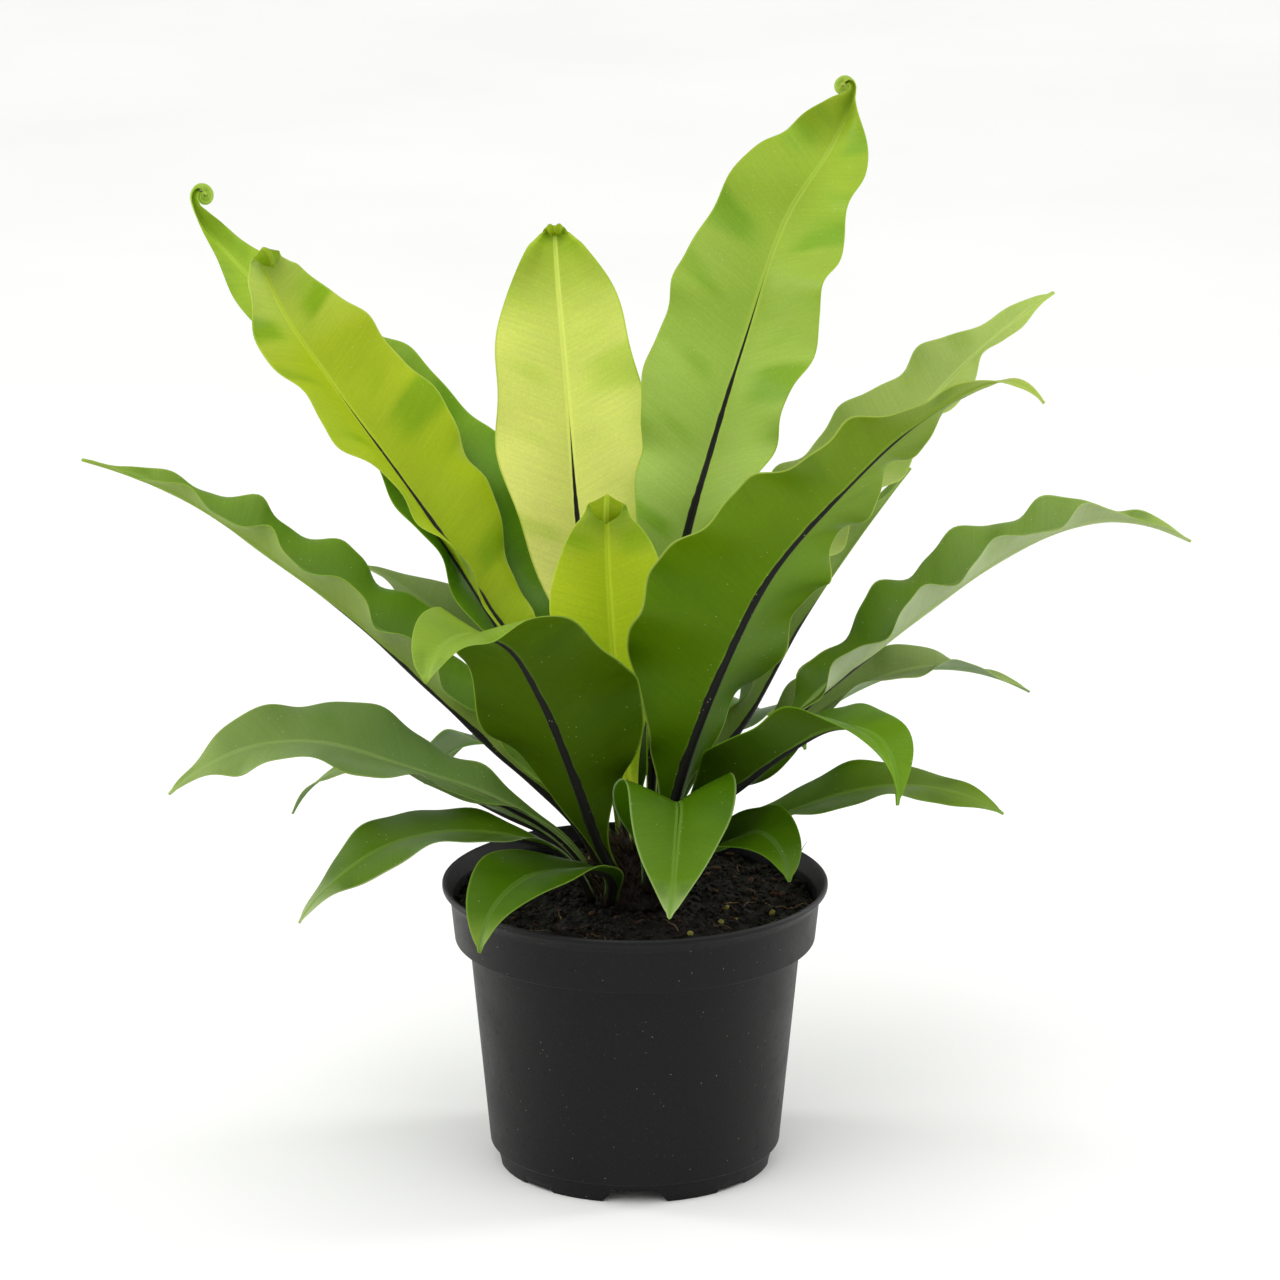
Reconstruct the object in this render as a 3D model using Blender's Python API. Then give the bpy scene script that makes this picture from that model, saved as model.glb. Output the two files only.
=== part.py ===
"""A bird's nest fern in a round black nursery pot.

The pot, the soil and the crown (the plant's short rootstock) are turned solids round the pot's axis.
Every frond is one thin blade: a smooth path from its seat on the crown to its tip, a width that swells
and tapers along that path, a shallow V across it, and waves that grow towards the margins.

Units are metres, +Z is up, and the origin is on the ground under the pot's axis.
"""

import math
from collections import namedtuple

import bmesh
import bpy
import numpy as np

# Pot
RIM_RADIUS = 0.085
POT_HEIGHT = 0.129
LIP_THICKNESS = 0.0016
LIP_OVERHANG = 0.0035
LIP_FLARE_HEIGHT = 0.0065
BAND_HEIGHT = 0.026
BAND_TAPER = 0.0020
SHOULDER_WIDTH = 0.0063
BODY_TAPER = 0.0089
FOOT_HEIGHT = 0.009
FOOT_STEP = 0.0025
FOOT_TAPER = 0.0014
FOOT_THICKNESS = 0.0022
WALL = 0.0014
FLOOR_LIFT = 0.0065
POT_SEGMENTS = 64

# Notches in the foot ring, and drain holes
NOTCH_COUNT = 4
NOTCH_FOOT_WIDTH = 0.029
NOTCH_TOP_WIDTH = 0.0185
NOTCH_HEIGHT = 0.0058
NICK_WIDTH = 0.018
NICK_HEIGHT = 0.0013
DRAIN_COUNT = 8
DRAIN_RADIUS = 0.005
DRAIN_INSET = 0.014
DRAIN_SIDES = 8

# Soil and crown
HEADSPACE = 0.009
CLEARANCE = 0.0003
CROWN_RADIUS = 0.019
CROWN_TOP_RADIUS = 0.005
CROWN_HEIGHT = 0.027
ROOT_RADIUS = 0.012
ROOT_DEPTH = 0.014
TURNED_SEGMENTS = 32

# Fronds
BLADE_THICKNESS = 0.0008
RIB_THICKNESS = 0.0024
SEAT_GAP = 0.0012
TIP_HALF_WIDTH = 0.0008
CURL_HALF_WIDTH = 0.0028
STALK_HALF_WIDTH = 0.0034
SECTION = (-1.0, -0.12, 0.0, 0.12, 1.0)
ROWS_PER_WAVE = 4
FEWEST_ROWS = 12
CURL_ROWS = 9

SOIL_TOP = POT_HEIGHT - HEADSPACE

# A frond's path gives x and y in rim radii from the axis, and the rise above the rim in metres, so a
# frond that passes over the rim follows it. `seat` is its azimuth and its share of the crown's height.
# `face` is the azimuth that the upper side looks to, `roll` turns the blade about its path, and `cup`
# is the angle that each half is folded up, all in degrees and spread evenly from the base to the tip.
# `curl` gives a rolled tip's turns, its radius, and the angle that its plane is swung round by.
Frond = namedtuple("Frond", "name seat path width widest taper face roll cup waves ruffle phase curl tint")

FRONDS = (
    Frond("frond_centre_back", (100, 0.80),
          ((-0.22, 0.46, 0.0975), (-0.30, 0.68, 0.1485), (-0.35, 0.89, 0.199), (-0.41, 1.10, 0.255),
           (-0.42, 1.15, 0.2695)),
          0.070, 0.68, 0.65, (-88, -88), (0, 0), (35, 12), 5, 0.0015, 0.5, (0.5, 0.004, 0), "young"),
    Frond("frond_young", (-80, 0.97),
          ((-0.05, -0.04, 0.056), (-0.11, -0.05, 0.107), (-0.14, -0.04, 0.152), (-0.14, -0.05, 0.170)),
          0.054, 0.68, 0.8, (-92, -92), (0, 0), (30, 14), 3, 0.001, 0.0, (0.45, 0.005, 0), "young"),
    Frond("frond_tall_right", (52, 0.80),
          ((0.13, 0.26, 0.077), (0.245, 0.40, 0.1375), (0.40, 0.56, 0.184), (0.56, 0.73, 0.226),
           (0.79, 0.96, 0.2805), (1.03, 1.08, 0.311), (1.14, 1.15, 0.3335)),
          0.077, 0.62, 0.58, (-118, -108), (0, 0), (48, 25, 10), 7, 0.0045, 0.4,
          (0.6, 0.0045, -90), "light"),
    Frond("frond_tall_left", (170, 0.80),
          ((-0.46, 0.23, 0.075), (-0.70, 0.37, 0.1055), (-1.05, 0.56, 0.149), (-1.57, 0.81, 0.207),
           (-1.84, 0.95, 0.2385), (-1.94, 1.00, 0.259)),
          0.074, 0.68, 0.70, (-25, -30, -62), (0, 0), (48, 35, 15), 6, 0.003, 1.0, (0.4, 0.006, 0), "light"),
    Frond("frond_tall_left_back", (136, 0.62),
          ((-0.47, 0.43, 0.076), (-0.71, 0.65, 0.111), (-0.97, 0.88, 0.1535), (-1.59, 1.22, 0.2095),
           (-1.98, 1.39, 0.2405), (-2.16, 1.45, 0.2555), (-2.30, 1.48, 0.269), (-2.34, 1.50, 0.278)),
          0.068, 0.50, 1.1, (-60, -60), (0, 0), (30, 15), 6, 0.004, 2.0, (0.8, 0.005, 90), "mid"),
    Frond("frond_right_front", (-45, 0.60),
          ((0.21, -0.35, 0.0465), (0.35, -0.48, 0.0880), (0.67, -0.65, 0.1525), (0.96, -0.75, 0.186),
           (1.33, -0.83, 0.220), (1.58, -0.87, 0.236), (1.77, -0.90, 0.244), (1.91, -0.92, 0.243),
           (2.01, -0.95, 0.235)),
          0.096, 0.42, 1.5, (114, 120, 130), (0, 0), (35, 20, 0), 7, 0.004, 0.0, None, "dark"),
    Frond("frond_right_back", (8, 0.62),
          ((0.36, 0.17, 0.0735), (0.65, 0.45, 0.1165), (1.13, 0.73, 0.1615), (1.57, 0.96, 0.1995),
           (1.90, 1.11, 0.224), (2.20, 1.20, 0.242)),
          0.064, 0.55, 1.1, (-135, -135), (0, 0), (30, 20), 7, 0.004, 1.2, None, "mid"),
    Frond("frond_right_inner", (34, 0.42),
          ((0.34, 0.28, 0.036), (0.59, 0.53, 0.0615), (0.87, 0.80, 0.099), (1.15, 1.04, 0.1295),
           (1.46, 1.30, 0.159)),
          0.046, 0.55, 1.1, (170, 170), (0, 0), (30, 25), 4, 0.003, 0.3, None, "gray"),
    Frond("frond_right_long", (-5, 0.34),
          ((0.44, 0.04, 0.045), (0.70, 0.11, 0.063), (1.11, 0.20, 0.091), (1.48, 0.30, 0.114),
           (1.85, 0.37, 0.1355), (2.17, 0.41, 0.149), (2.49, 0.44, 0.154), (2.88, 0.45, 0.144)),
          0.052, 0.60, 1.4, (188, 188), (0, 0), (12, 32, 35), 7, 0.004, 2.0, None, "mid"),
    Frond("frond_right_shade", (18, 0.22),
          ((0.44, 0.20, 0.031), (0.80, 0.39, 0.056), (1.13, 0.57, 0.072), (1.45, 0.70, 0.079),
           (1.77, 0.82, 0.076), (2.09, 0.90, 0.064)),
          0.042, 0.55, 1.2, (203, 203), (0, 0), (30, 15), 4, 0.003, 0.1, None, "gray"),
    Frond("frond_right_short", (-30, 0.40),
          ((0.33, -0.25, 0.034), (0.54, -0.38, 0.0525), (0.78, -0.55, 0.0735), (1.03, -0.74, 0.089),
           (1.23, -0.89, 0.087), (1.31, -1.05, 0.062)),
          0.056, 0.48, 1.1, (118, 112, 130, 150), (0, 0), (30, 25, 20), 3, 0.003, 1.5, None, "dark"),
    Frond("frond_right_low", (-27, 0.06),
          ((0.33, -0.13, 0.017), (0.64, -0.11, 0.028), (1.00, -0.09, 0.040), (1.31, -0.11, 0.046),
           (1.61, -0.17, 0.0455), (1.89, -0.25, 0.037)),
          0.046, 0.55, 1.0, (172, 172), (0, -5, -8), (20, 0), 3, 0.002, 0.9, None, "dark"),
    Frond("frond_front_centre", (-72, 0.34),
          ((0.12, -0.55, 0.037), (0.22, -0.86, 0.0585), (0.21, -1.11, 0.0495), (0.19, -1.38, 0.036),
           (0.17, -1.60, 0.0275)),
          0.054, 0.45, 1.1, (100, 95), (0, 0), (35, 12), 2, 0.002, 0.4, None, "dark"),
    Frond("frond_front_right", (-52, 0.06),
          ((0.32, -0.45, 0.0225), (0.47, -0.63, 0.033), (0.61, -0.82, 0.0445), (0.72, -0.99, 0.042),
           (0.77, -1.15, 0.031)),
          0.044, 0.5, 1.0, (140, 140), (-15, -15), (20, 5), 2, 0.0015, 0.6, None, "dark"),
    Frond("frond_front_left", (-125, 0.12),
          ((-0.15, -0.47, 0.016), (-0.35, -0.70, 0.0235), (-0.55, -0.94, 0.0265),
           (-0.71, -1.20, 0.020), (-0.77, -1.40, 0.0065)),
          0.050, 0.5, 1.1, (55, 55), (0, 0), (15, 8), 2, 0.0015, 0.2, None, "dark"),
    Frond("frond_left_low", (-154, 0.10),
          ((-0.38, -0.21, 0.018), (-0.69, -0.37, 0.0305), (-0.99, -0.51, 0.0355), (-1.29, -0.62, 0.031),
           (-1.55, -0.71, 0.017), (-1.70, -0.80, 0.0025)),
          0.052, 0.60, 1.2, (20, 20), (0, 3), (22, -4), 3, 0.002, 0.7, None, "dark"),
    Frond("frond_left_arching", (-174, 0.30),
          ((-0.39, -0.08, 0.022), (-0.80, -0.14, 0.0435), (-1.21, -0.19, 0.0575), (-1.62, -0.23, 0.069),
           (-2.02, -0.28, 0.0665), (-2.38, -0.35, 0.0485)),
          0.062, 0.60, 1.15, (8, 8), (10, 14), (24, 6), 4, 0.003, 0.3, None, "dark"),
    Frond("frond_left_shade", (160, 0.10),
          ((-0.39, 0.19, 0.012), (-0.70, 0.30, 0.023), (-1.01, 0.40, 0.0335), (-1.33, 0.48, 0.040),
           (-1.62, 0.54, 0.0345), (-1.81, 0.60, 0.0145)),
          0.034, 0.5, 1.2, (-12, -12), (0, 0), (25, 5), 3, 0.002, 0.3, None, "gray"),
    Frond("frond_left_long", (179, 0.54),
          ((-0.31, -0.03, 0.027), (-0.70, 0.04, 0.057), (-1.08, 0.14, 0.086), (-1.48, 0.25, 0.1155),
           (-1.90, 0.35, 0.1405), (-2.27, 0.42, 0.1615), (-2.60, 0.47, 0.1735), (-2.86, 0.50, 0.180)),
          0.056, 0.46, 1.3, (-10, -10), (0, 0), (42, 38, 30), 7, 0.004, 0.2, None, "mid"),
    Frond("frond_left_front", (-125, 0.55),
          ((-0.18, -0.30, 0.022), (-0.33, -0.53, 0.065), (-0.48, -0.76, 0.103), (-0.63, -0.96, 0.1295),
           (-0.82, -1.18, 0.1405), (-0.96, -1.36, 0.1385), (-1.02, -1.50, 0.127)),
          0.082, 0.45, 0.85, (85, 65), (0, 0), (25, 15), 4, 0.003, 0.1, None, "dark"),
    Frond("frond_left_inner", (156, 0.40),
          ((-0.42, 0.34, 0.0425), (-0.82, 0.83, 0.082), (-1.15, 1.11, 0.1025), (-1.45, 1.30, 0.1135)),
          0.050, 0.6, 1.1, (-40, -40), (0, 0), (30, 20), 3, 0.002, 0.3, None, "gray"),
    Frond("frond_back_high_left", (106, 0.46),
          ((-0.12, 0.46, 0.055), (-0.23, 0.95, 0.112), (-0.33, 1.38, 0.154), (-0.38, 1.64, 0.166)),
          0.050, 0.6, 1.0, (-80, -80), (0, 0), (30, 15), 5, 0.003, 0.6, None, "mid"),
    Frond("frond_back_high_right", (70, 0.50),
          ((0.20, 0.42, 0.056), (0.42, 0.90, 0.108), (0.60, 1.34, 0.142), (0.68, 1.64, 0.146)),
          0.050, 0.6, 1.0, (-115, -115), (0, 0), (30, 15), 5, 0.003, 0.2, None, "mid"),
    Frond("frond_back_low", (94, 0.20),
          ((-0.04, 0.50, 0.036), (-0.03, 0.95, 0.064), (0.0, 1.36, 0.062), (0.02, 1.64, 0.034)),
          0.052, 0.55, 1.0, (-90, -90), (0, 0), (30, 12), 3, 0.002, 0.9, None, "dark"),
    Frond("frond_back_low_left", (128, 0.12),
          ((-0.30, 0.42, 0.026), (-0.65, 0.82, 0.040), (-0.96, 1.20, 0.030), (-1.14, 1.46, 0.006)),
          0.046, 0.55, 1.0, (-50, -50), (0, 0), (30, 12), 3, 0.002, 0.2, None, "dark"),
    Frond("frond_back_low_right", (62, 0.12),
          ((0.22, 0.46, 0.028), (0.48, 0.90, 0.050), (0.74, 1.26, 0.044), (0.92, 1.48, 0.022)),
          0.046, 0.55, 1.0, (-125, -125), (0, 0), (30, 12), 3, 0.002, 0.5, None, "dark"),
)

TINTS = {
    "young": ((0.42, 0.50, 0.08), 0.42),
    "light": ((0.30, 0.42, 0.05), 0.42),
    "mid": ((0.14, 0.28, 0.05), 0.40),
    "dark": ((0.08, 0.19, 0.015), 0.38),
    "gray": ((0.13, 0.21, 0.07), 0.50),
}


def clear_scene():
    for obj in list(bpy.data.objects):
        bpy.data.objects.remove(obj, do_unlink=True)


def material(name, colour, roughness):
    made = bpy.data.materials.new(name)
    made.use_nodes = True
    shader = made.node_tree.nodes["Principled BSDF"]
    shader.inputs["Base Color"].default_value = (*colour, 1.0)
    shader.inputs["Roughness"].default_value = roughness
    shader.inputs["Metallic"].default_value = 0.0
    return made


def add_object(name, mesh_in_progress, look):
    mesh = bpy.data.meshes.new(name)
    mesh_in_progress.to_mesh(mesh)
    mesh_in_progress.free()
    mesh.materials.append(look)
    obj = bpy.data.objects.new(name, mesh)
    bpy.context.scene.collection.objects.link(obj)
    return obj


def turned_mesh(profile, segments):
    """The profile, as (radius, height) points, spun round the Z axis, with both open ends capped."""
    mesh = bmesh.new()
    points = [mesh.verts.new((radius, 0.0, height)) for radius, height in profile]
    edges = [mesh.edges.new(pair) for pair in zip(points, points[1:])]
    bmesh.ops.spin(mesh, geom=points + edges, axis=(0, 0, 1), cent=(0, 0, 0),
                   angle=2 * math.pi, steps=segments, use_merge=True)
    bmesh.ops.holes_fill(mesh, edges=mesh.edges, sides=0)
    bmesh.ops.recalc_face_normals(mesh, faces=mesh.faces)
    return mesh


def shade(obj, angle=40):
    obj.data.shade_smooth()
    obj.data.set_sharp_from_angle(angle=math.radians(angle))


def pot_radii():
    """The pot's outer radii, from the lip down to the ground."""
    band_top = RIM_RADIUS - LIP_OVERHANG
    band_foot = band_top - BAND_TAPER
    body_top = band_foot - SHOULDER_WIDTH
    body_foot = body_top - BODY_TAPER
    foot_top = body_foot - FOOT_STEP
    return band_top, band_foot, body_top, body_foot, foot_top, foot_top - FOOT_TAPER


def pot_profile():
    """From the floor inside, up the inner wall, over the lip and down the outside to the underside."""
    band_top, band_foot, body_top, body_foot, foot_top, foot = pot_radii()
    shoulder = POT_HEIGHT - BAND_HEIGHT
    edge = LIP_THICKNESS / 3
    flare_foot = POT_HEIGHT - LIP_FLARE_HEIGHT
    floor_top = FOOT_HEIGHT + WALL
    return (
        (body_foot - WALL, floor_top),
        (body_top - WALL, shoulder + WALL),
        (band_foot - WALL, shoulder + 2 * WALL),
        (band_top - WALL, flare_foot),
        (RIM_RADIUS - LIP_THICKNESS, POT_HEIGHT - edge),
        (RIM_RADIUS - LIP_THICKNESS + edge, POT_HEIGHT),
        (RIM_RADIUS - edge, POT_HEIGHT),
        (RIM_RADIUS, POT_HEIGHT - edge),
        (RIM_RADIUS, POT_HEIGHT - 1.5 * LIP_THICKNESS),
        (band_top, flare_foot),
        (band_foot, shoulder + edge),
        (band_foot - edge, shoulder),
        (body_top, shoulder),
        (body_foot, FOOT_HEIGHT + edge),
        (body_foot - edge, FOOT_HEIGHT),
        (foot_top, FOOT_HEIGHT),
        (foot, 0.0),
        (foot - FOOT_THICKNESS, 0.0),
        (foot_top - FOOT_THICKNESS, FLOOR_LIFT),
    )


def prism(outline, depth):
    """A closed prism: the outline, as (across, up) points, drawn out along +X by depth."""
    mesh = bmesh.new()
    near = [mesh.verts.new((0.0, across, up)) for across, up in outline]
    face = mesh.faces.new(near)
    drawn = bmesh.ops.extrude_face_region(mesh, geom=[face])
    moved = [item for item in drawn["geom"] if isinstance(item, bmesh.types.BMVert)]
    bmesh.ops.translate(mesh, verts=moved, vec=(depth, 0, 0))
    bmesh.ops.recalc_face_normals(mesh, faces=mesh.faces)
    return mesh


def add_cutter(name, mesh, target, location, azimuth):
    cutter = add_object(name, mesh, target.data.materials[0])
    cutter.location = location
    cutter.rotation_euler = (0, 0, azimuth)
    cutter.hide_render = True
    cutter.display_type = "WIRE"
    cut = target.modifiers.new(name, "BOOLEAN")
    cut.operation = "DIFFERENCE"
    cut.solver = "EXACT"
    cut.object = cutter


def cut_foot(pot):
    """Wide notches through the foot ring, with a shallow nick halfway between each two."""
    ring_inside = pot_radii()[5] - 3 * FOOT_THICKNESS
    below = -FOOT_HEIGHT / 4
    slope = (NOTCH_FOOT_WIDTH - NOTCH_TOP_WIDTH) / 2 / NOTCH_HEIGHT
    low = NOTCH_FOOT_WIDTH / 2 - slope * below
    high = NOTCH_TOP_WIDTH / 2
    notch = ((-low, below), (low, below), (high, NOTCH_HEIGHT), (-high, NOTCH_HEIGHT))
    side = NICK_WIDTH / 2
    nick = ((-side, below), (side, below), (side - NICK_HEIGHT, NICK_HEIGHT),
            (NICK_HEIGHT - side, NICK_HEIGHT))
    for index in range(2 * NOTCH_COUNT):
        azimuth = index * math.pi / NOTCH_COUNT
        place = (ring_inside * math.cos(azimuth), ring_inside * math.sin(azimuth), 0)
        outline = nick if index % 2 else notch
        add_cutter(f"foot_cut_{index + 1}", prism(outline, 5 * FOOT_THICKNESS), pot, place, azimuth)


def cut_drains(pot):
    reach = pot_radii()[3] - WALL - DRAIN_INSET
    for index in range(DRAIN_COUNT):
        azimuth = (index + 0.5) * 2 * math.pi / DRAIN_COUNT
        mesh = bmesh.new()
        bmesh.ops.create_cone(mesh, cap_ends=True, segments=DRAIN_SIDES, radius1=DRAIN_RADIUS,
                              radius2=DRAIN_RADIUS, depth=4 * FOOT_HEIGHT)
        place = (reach * math.cos(azimuth), reach * math.sin(azimuth), FOOT_HEIGHT)
        add_cutter(f"drain_cut_{index + 1}", mesh, pot, place, azimuth)


def make_pot():
    black = material("pot_plastic", (0.022, 0.023, 0.025), 0.55)
    pot = add_object("nursery_pot", turned_mesh(pot_profile(), POT_SEGMENTS), black)
    cut_foot(pot)
    cut_drains(pot)
    shade(pot)


def make_soil():
    """The soil fills the pot to the headspace, with a socket for the crown's rootstock."""
    band_top, band_foot, body_top, body_foot = pot_radii()[:4]
    shoulder = POT_HEIGHT - BAND_HEIGHT
    slope = (band_top - band_foot) / (BAND_HEIGHT - LIP_FLARE_HEIGHT)
    inset = WALL + CLEARANCE
    top_radius = band_foot + slope * (SOIL_TOP - shoulder) - inset
    profile = (
        (ROOT_RADIUS + CLEARANCE, SOIL_TOP - ROOT_DEPTH - CLEARANCE),
        (ROOT_RADIUS + CLEARANCE, SOIL_TOP),
        (top_radius, SOIL_TOP),
        (band_foot - inset, shoulder + 2 * WALL + CLEARANCE),
        (body_top - inset, shoulder + WALL),
        (body_foot - inset, FOOT_HEIGHT + WALL + CLEARANCE),
    )
    brown = material("potting_soil", (0.018, 0.013, 0.010), 0.95)
    shade(add_object("potting_soil", turned_mesh(profile, POT_SEGMENTS), brown))


def crown_radius(share):
    """The crown's radius at a share of its height."""
    return CROWN_TOP_RADIUS + (CROWN_RADIUS - CROWN_TOP_RADIUS) * (1 - share)


def make_crown():
    base = SOIL_TOP + CLEARANCE
    shares = (1.0, 0.75, 0.5, 0.25, 0.0)
    slope = [(crown_radius(share), base + share * CROWN_HEIGHT) for share in shares]
    stock = [(ROOT_RADIUS, base), (ROOT_RADIUS * 0.8, SOIL_TOP - ROOT_DEPTH)]
    fibre = material("crown_fibre", (0.035, 0.022, 0.012), 0.9)
    shade(add_object("crown", turned_mesh(slope + stock, TURNED_SEGMENTS), fibre))


def seat_point(frond):
    azimuth = math.radians(frond.seat[0])
    folded = STALK_HALF_WIDTH * math.sin(math.radians(frond.cup[0]))
    reach = crown_radius(frond.seat[1]) + SEAT_GAP + RIB_THICKNESS / 2 + folded
    height = SOIL_TOP + frond.seat[1] * CROWN_HEIGHT
    return np.array((reach * math.cos(azimuth), reach * math.sin(azimuth), height))


def smooth_line(points, count):
    """A smooth curve through the points, as count places spaced evenly along it."""
    points = np.array(points)
    gaps = np.sqrt(np.linalg.norm(np.diff(points, axis=0), axis=1))
    knots = np.concatenate(([0.0], np.cumsum(gaps)))
    slopes = np.gradient(points, knots, axis=0, edge_order=2 if len(points) > 2 else 1)
    dense = np.linspace(0.0, knots[-1], 40 * len(points))
    index = np.clip(np.searchsorted(knots, dense, side="right") - 1, 0, len(gaps) - 1)
    span = gaps[index][:, None]
    u = ((dense - knots[index]) / gaps[index])[:, None]
    line = ((2 * u**3 - 3 * u**2 + 1) * points[index] + (u**3 - 2 * u**2 + u) * span * slopes[index]
            + (3 * u**2 - 2 * u**3) * points[index + 1] + (u**3 - u**2) * span * slopes[index + 1])
    return evenly_spaced(line, count)


def evenly_spaced(line, count):
    along = np.concatenate(([0.0], np.cumsum(np.linalg.norm(np.diff(line, axis=0), axis=1))))
    wanted = np.linspace(0.0, along[-1], count)
    return np.stack([np.interp(wanted, along, line[:, axis]) for axis in range(3)], axis=1)


def unit(vectors):
    return vectors / np.linalg.norm(vectors, axis=-1, keepdims=True)


def angles(values, count):
    """The angles, in radians, at each of count places from the base to the tip."""
    return np.radians(np.interp(np.linspace(0, 1, count), np.linspace(0, 1, len(values)), values))


def blade_frame(line, frond):
    """Along, across and upper-side directions at each place on the path."""
    along = unit(np.gradient(line, axis=0))
    face = angles(frond.face, len(line))
    level = np.stack([-np.sin(face), np.cos(face), np.zeros_like(face)], axis=1)
    across = unit(level - along * np.sum(level * along, axis=1, keepdims=True))
    upper = np.cross(across, along)
    roll = angles(frond.roll, len(line))[:, None]
    return along, across * np.cos(roll) + upper * np.sin(roll), upper * np.cos(roll) - across * np.sin(roll)


def half_width(share, frond):
    """Half the blade's width: a narrow stalk, the widest place, then a taper to the tip."""
    rise = np.clip(share / frond.widest, 0, 1)
    swell = (rise * rise * (3 - 2 * rise)) ** 1.7
    fall = np.clip((share - frond.widest) / (1 - frond.widest), 0, 1)
    taper = (1 - fall**1.8) ** frond.taper
    widest = frond.width / 2
    base = STALK_HALF_WIDTH + (widest - STALK_HALF_WIDTH) * swell
    tip = CURL_HALF_WIDTH if frond.curl else TIP_HALF_WIDTH
    return np.where(share < frond.widest, base, tip + (widest - tip) * taper)


def curled_tip(line, frame, frond):
    """A tightening spiral, towards the upper side, added at the end of the path."""
    turns, radius, swing = frond.curl
    along, across, upper = (part[-1] for part in frame)
    swing = math.radians(swing)
    inward = upper * math.cos(swing) + across * math.sin(swing)
    flat = across * math.cos(swing) - upper * math.sin(swing)
    turn = turns * 2 * math.pi / CURL_ROWS
    place = line[-1]
    places = []
    for step in range(CURL_ROWS):
        here = radius * (1 - 0.55 * step / CURL_ROWS)
        middle = turn * (step + 0.5)
        end = turn * (step + 1)
        place = place + here * turn * (along * math.cos(middle) + inward * math.sin(middle))
        twist = min((step + 1) / 3, 1.0)
        bent = inward * math.cos(end) - along * math.sin(end)
        places.append((place, unit(across * (1 - twist) + flat * twist),
                       unit(upper * (1 - twist) + bent * twist)))
    return places


def blade_rows(frond):
    """Each row's centre, across direction, upper direction, half width, cup, and share of the length."""
    rows = max(FEWEST_ROWS, ROWS_PER_WAVE * frond.waves)
    path = [seat_point(frond)]
    path += [np.array((x * RIM_RADIUS, y * RIM_RADIUS, POT_HEIGHT + rise)) for x, y, rise in frond.path]
    line = smooth_line(path, rows + 1)
    frame = blade_frame(line, frond)
    share = np.linspace(0.0, 1.0, rows + 1)
    width = half_width(share, frond)
    cup = angles(frond.cup, rows + 1)
    made = [(line[i], frame[1][i], frame[2][i], width[i], cup[i], share[i]) for i in range(rows + 1)]
    if frond.curl:
        for step, (place, across, upper) in enumerate(curled_tip(line, frame, frond)):
            narrow = CURL_HALF_WIDTH * (1 - 0.5 * (step + 1) / CURL_ROWS)
            made.append((place, across, upper, narrow, 0.0, 1.0))
    return made


def ruffle(share, side, width, frond):
    """How far the margin waves out of the blade, growing from the stalk and dying out at the tip."""
    swell = min(share / 0.25, 1.0) * min(4 * width / frond.width, 1.0)
    lag = 1.9 if side < 0 else 0.0
    return frond.ruffle * swell * math.sin(2 * math.pi * frond.waves * share + frond.phase + lag)


def make_frond(frond, looks):
    rows = blade_rows(frond)
    mesh = bmesh.new()
    bmesh.ops.create_grid(mesh, x_segments=len(rows) - 1, y_segments=len(SECTION) - 1, size=1.0)
    mesh.verts.ensure_lookup_table()
    columns = len(SECTION)
    ordered = sorted(mesh.verts, key=lambda vert: (round(vert.co.x, 4), round(vert.co.y, 4)))
    weights = {}
    for number, vert in enumerate(ordered):
        centre, across, upper, width, cup, share = rows[number // columns]
        side = SECTION[number % columns]
        out = width * abs(side)
        lift = out * math.sin(cup) + abs(side) ** 1.5 * ruffle(share, side, width, frond)
        vert.co = centre + across * math.copysign(out * math.cos(cup), side) * (side != 0) + upper * lift
        weights[vert.index] = (1 - 0.6 * share) if side == 0 else 0.0
    bmesh.ops.recalc_face_normals(mesh, faces=mesh.faces)
    obj = add_object(frond.name, mesh, looks[frond.tint])
    rib = obj.vertex_groups.new(name="midrib")
    for index, weight in weights.items():
        rib.add([index], weight, "REPLACE")
    thicken(obj, rows)
    shade(obj, 70)


def thicken(obj, rows):
    """Thickness goes to the under side, and is greatest along the midrib."""
    first = obj.data.polygons[0].normal
    outward = np.dot(np.array(first), rows[0][2]) > 0
    solid = obj.modifiers.new("blade", "SOLIDIFY")
    solid.thickness = RIB_THICKNESS
    solid.offset = -1.0 if outward else 1.0
    solid.vertex_group = "midrib"
    solid.thickness_vertex_group = BLADE_THICKNESS / RIB_THICKNESS


def main():
    clear_scene()
    make_pot()
    make_soil()
    make_crown()
    looks = {name: material(f"frond_{name}", *look) for name, look in TINTS.items()}
    for frond in FRONDS:
        make_frond(frond, looks)


main()
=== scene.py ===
"""The looks of a bird's nest fern in a nursery pot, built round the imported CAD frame.

Every frond is built again from the table that the CAD model uses, at a finer pitch and with a real leaf's
thickness, midrib, waves and rolled tip. The pot, the soil and the crown get their fine surfaces too.
Units are metres, +Z is up, and the plant's front is towards -Y.
"""

import math
from collections import namedtuple

import bmesh
import bpy
import numpy as np
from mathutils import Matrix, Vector, noise


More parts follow.
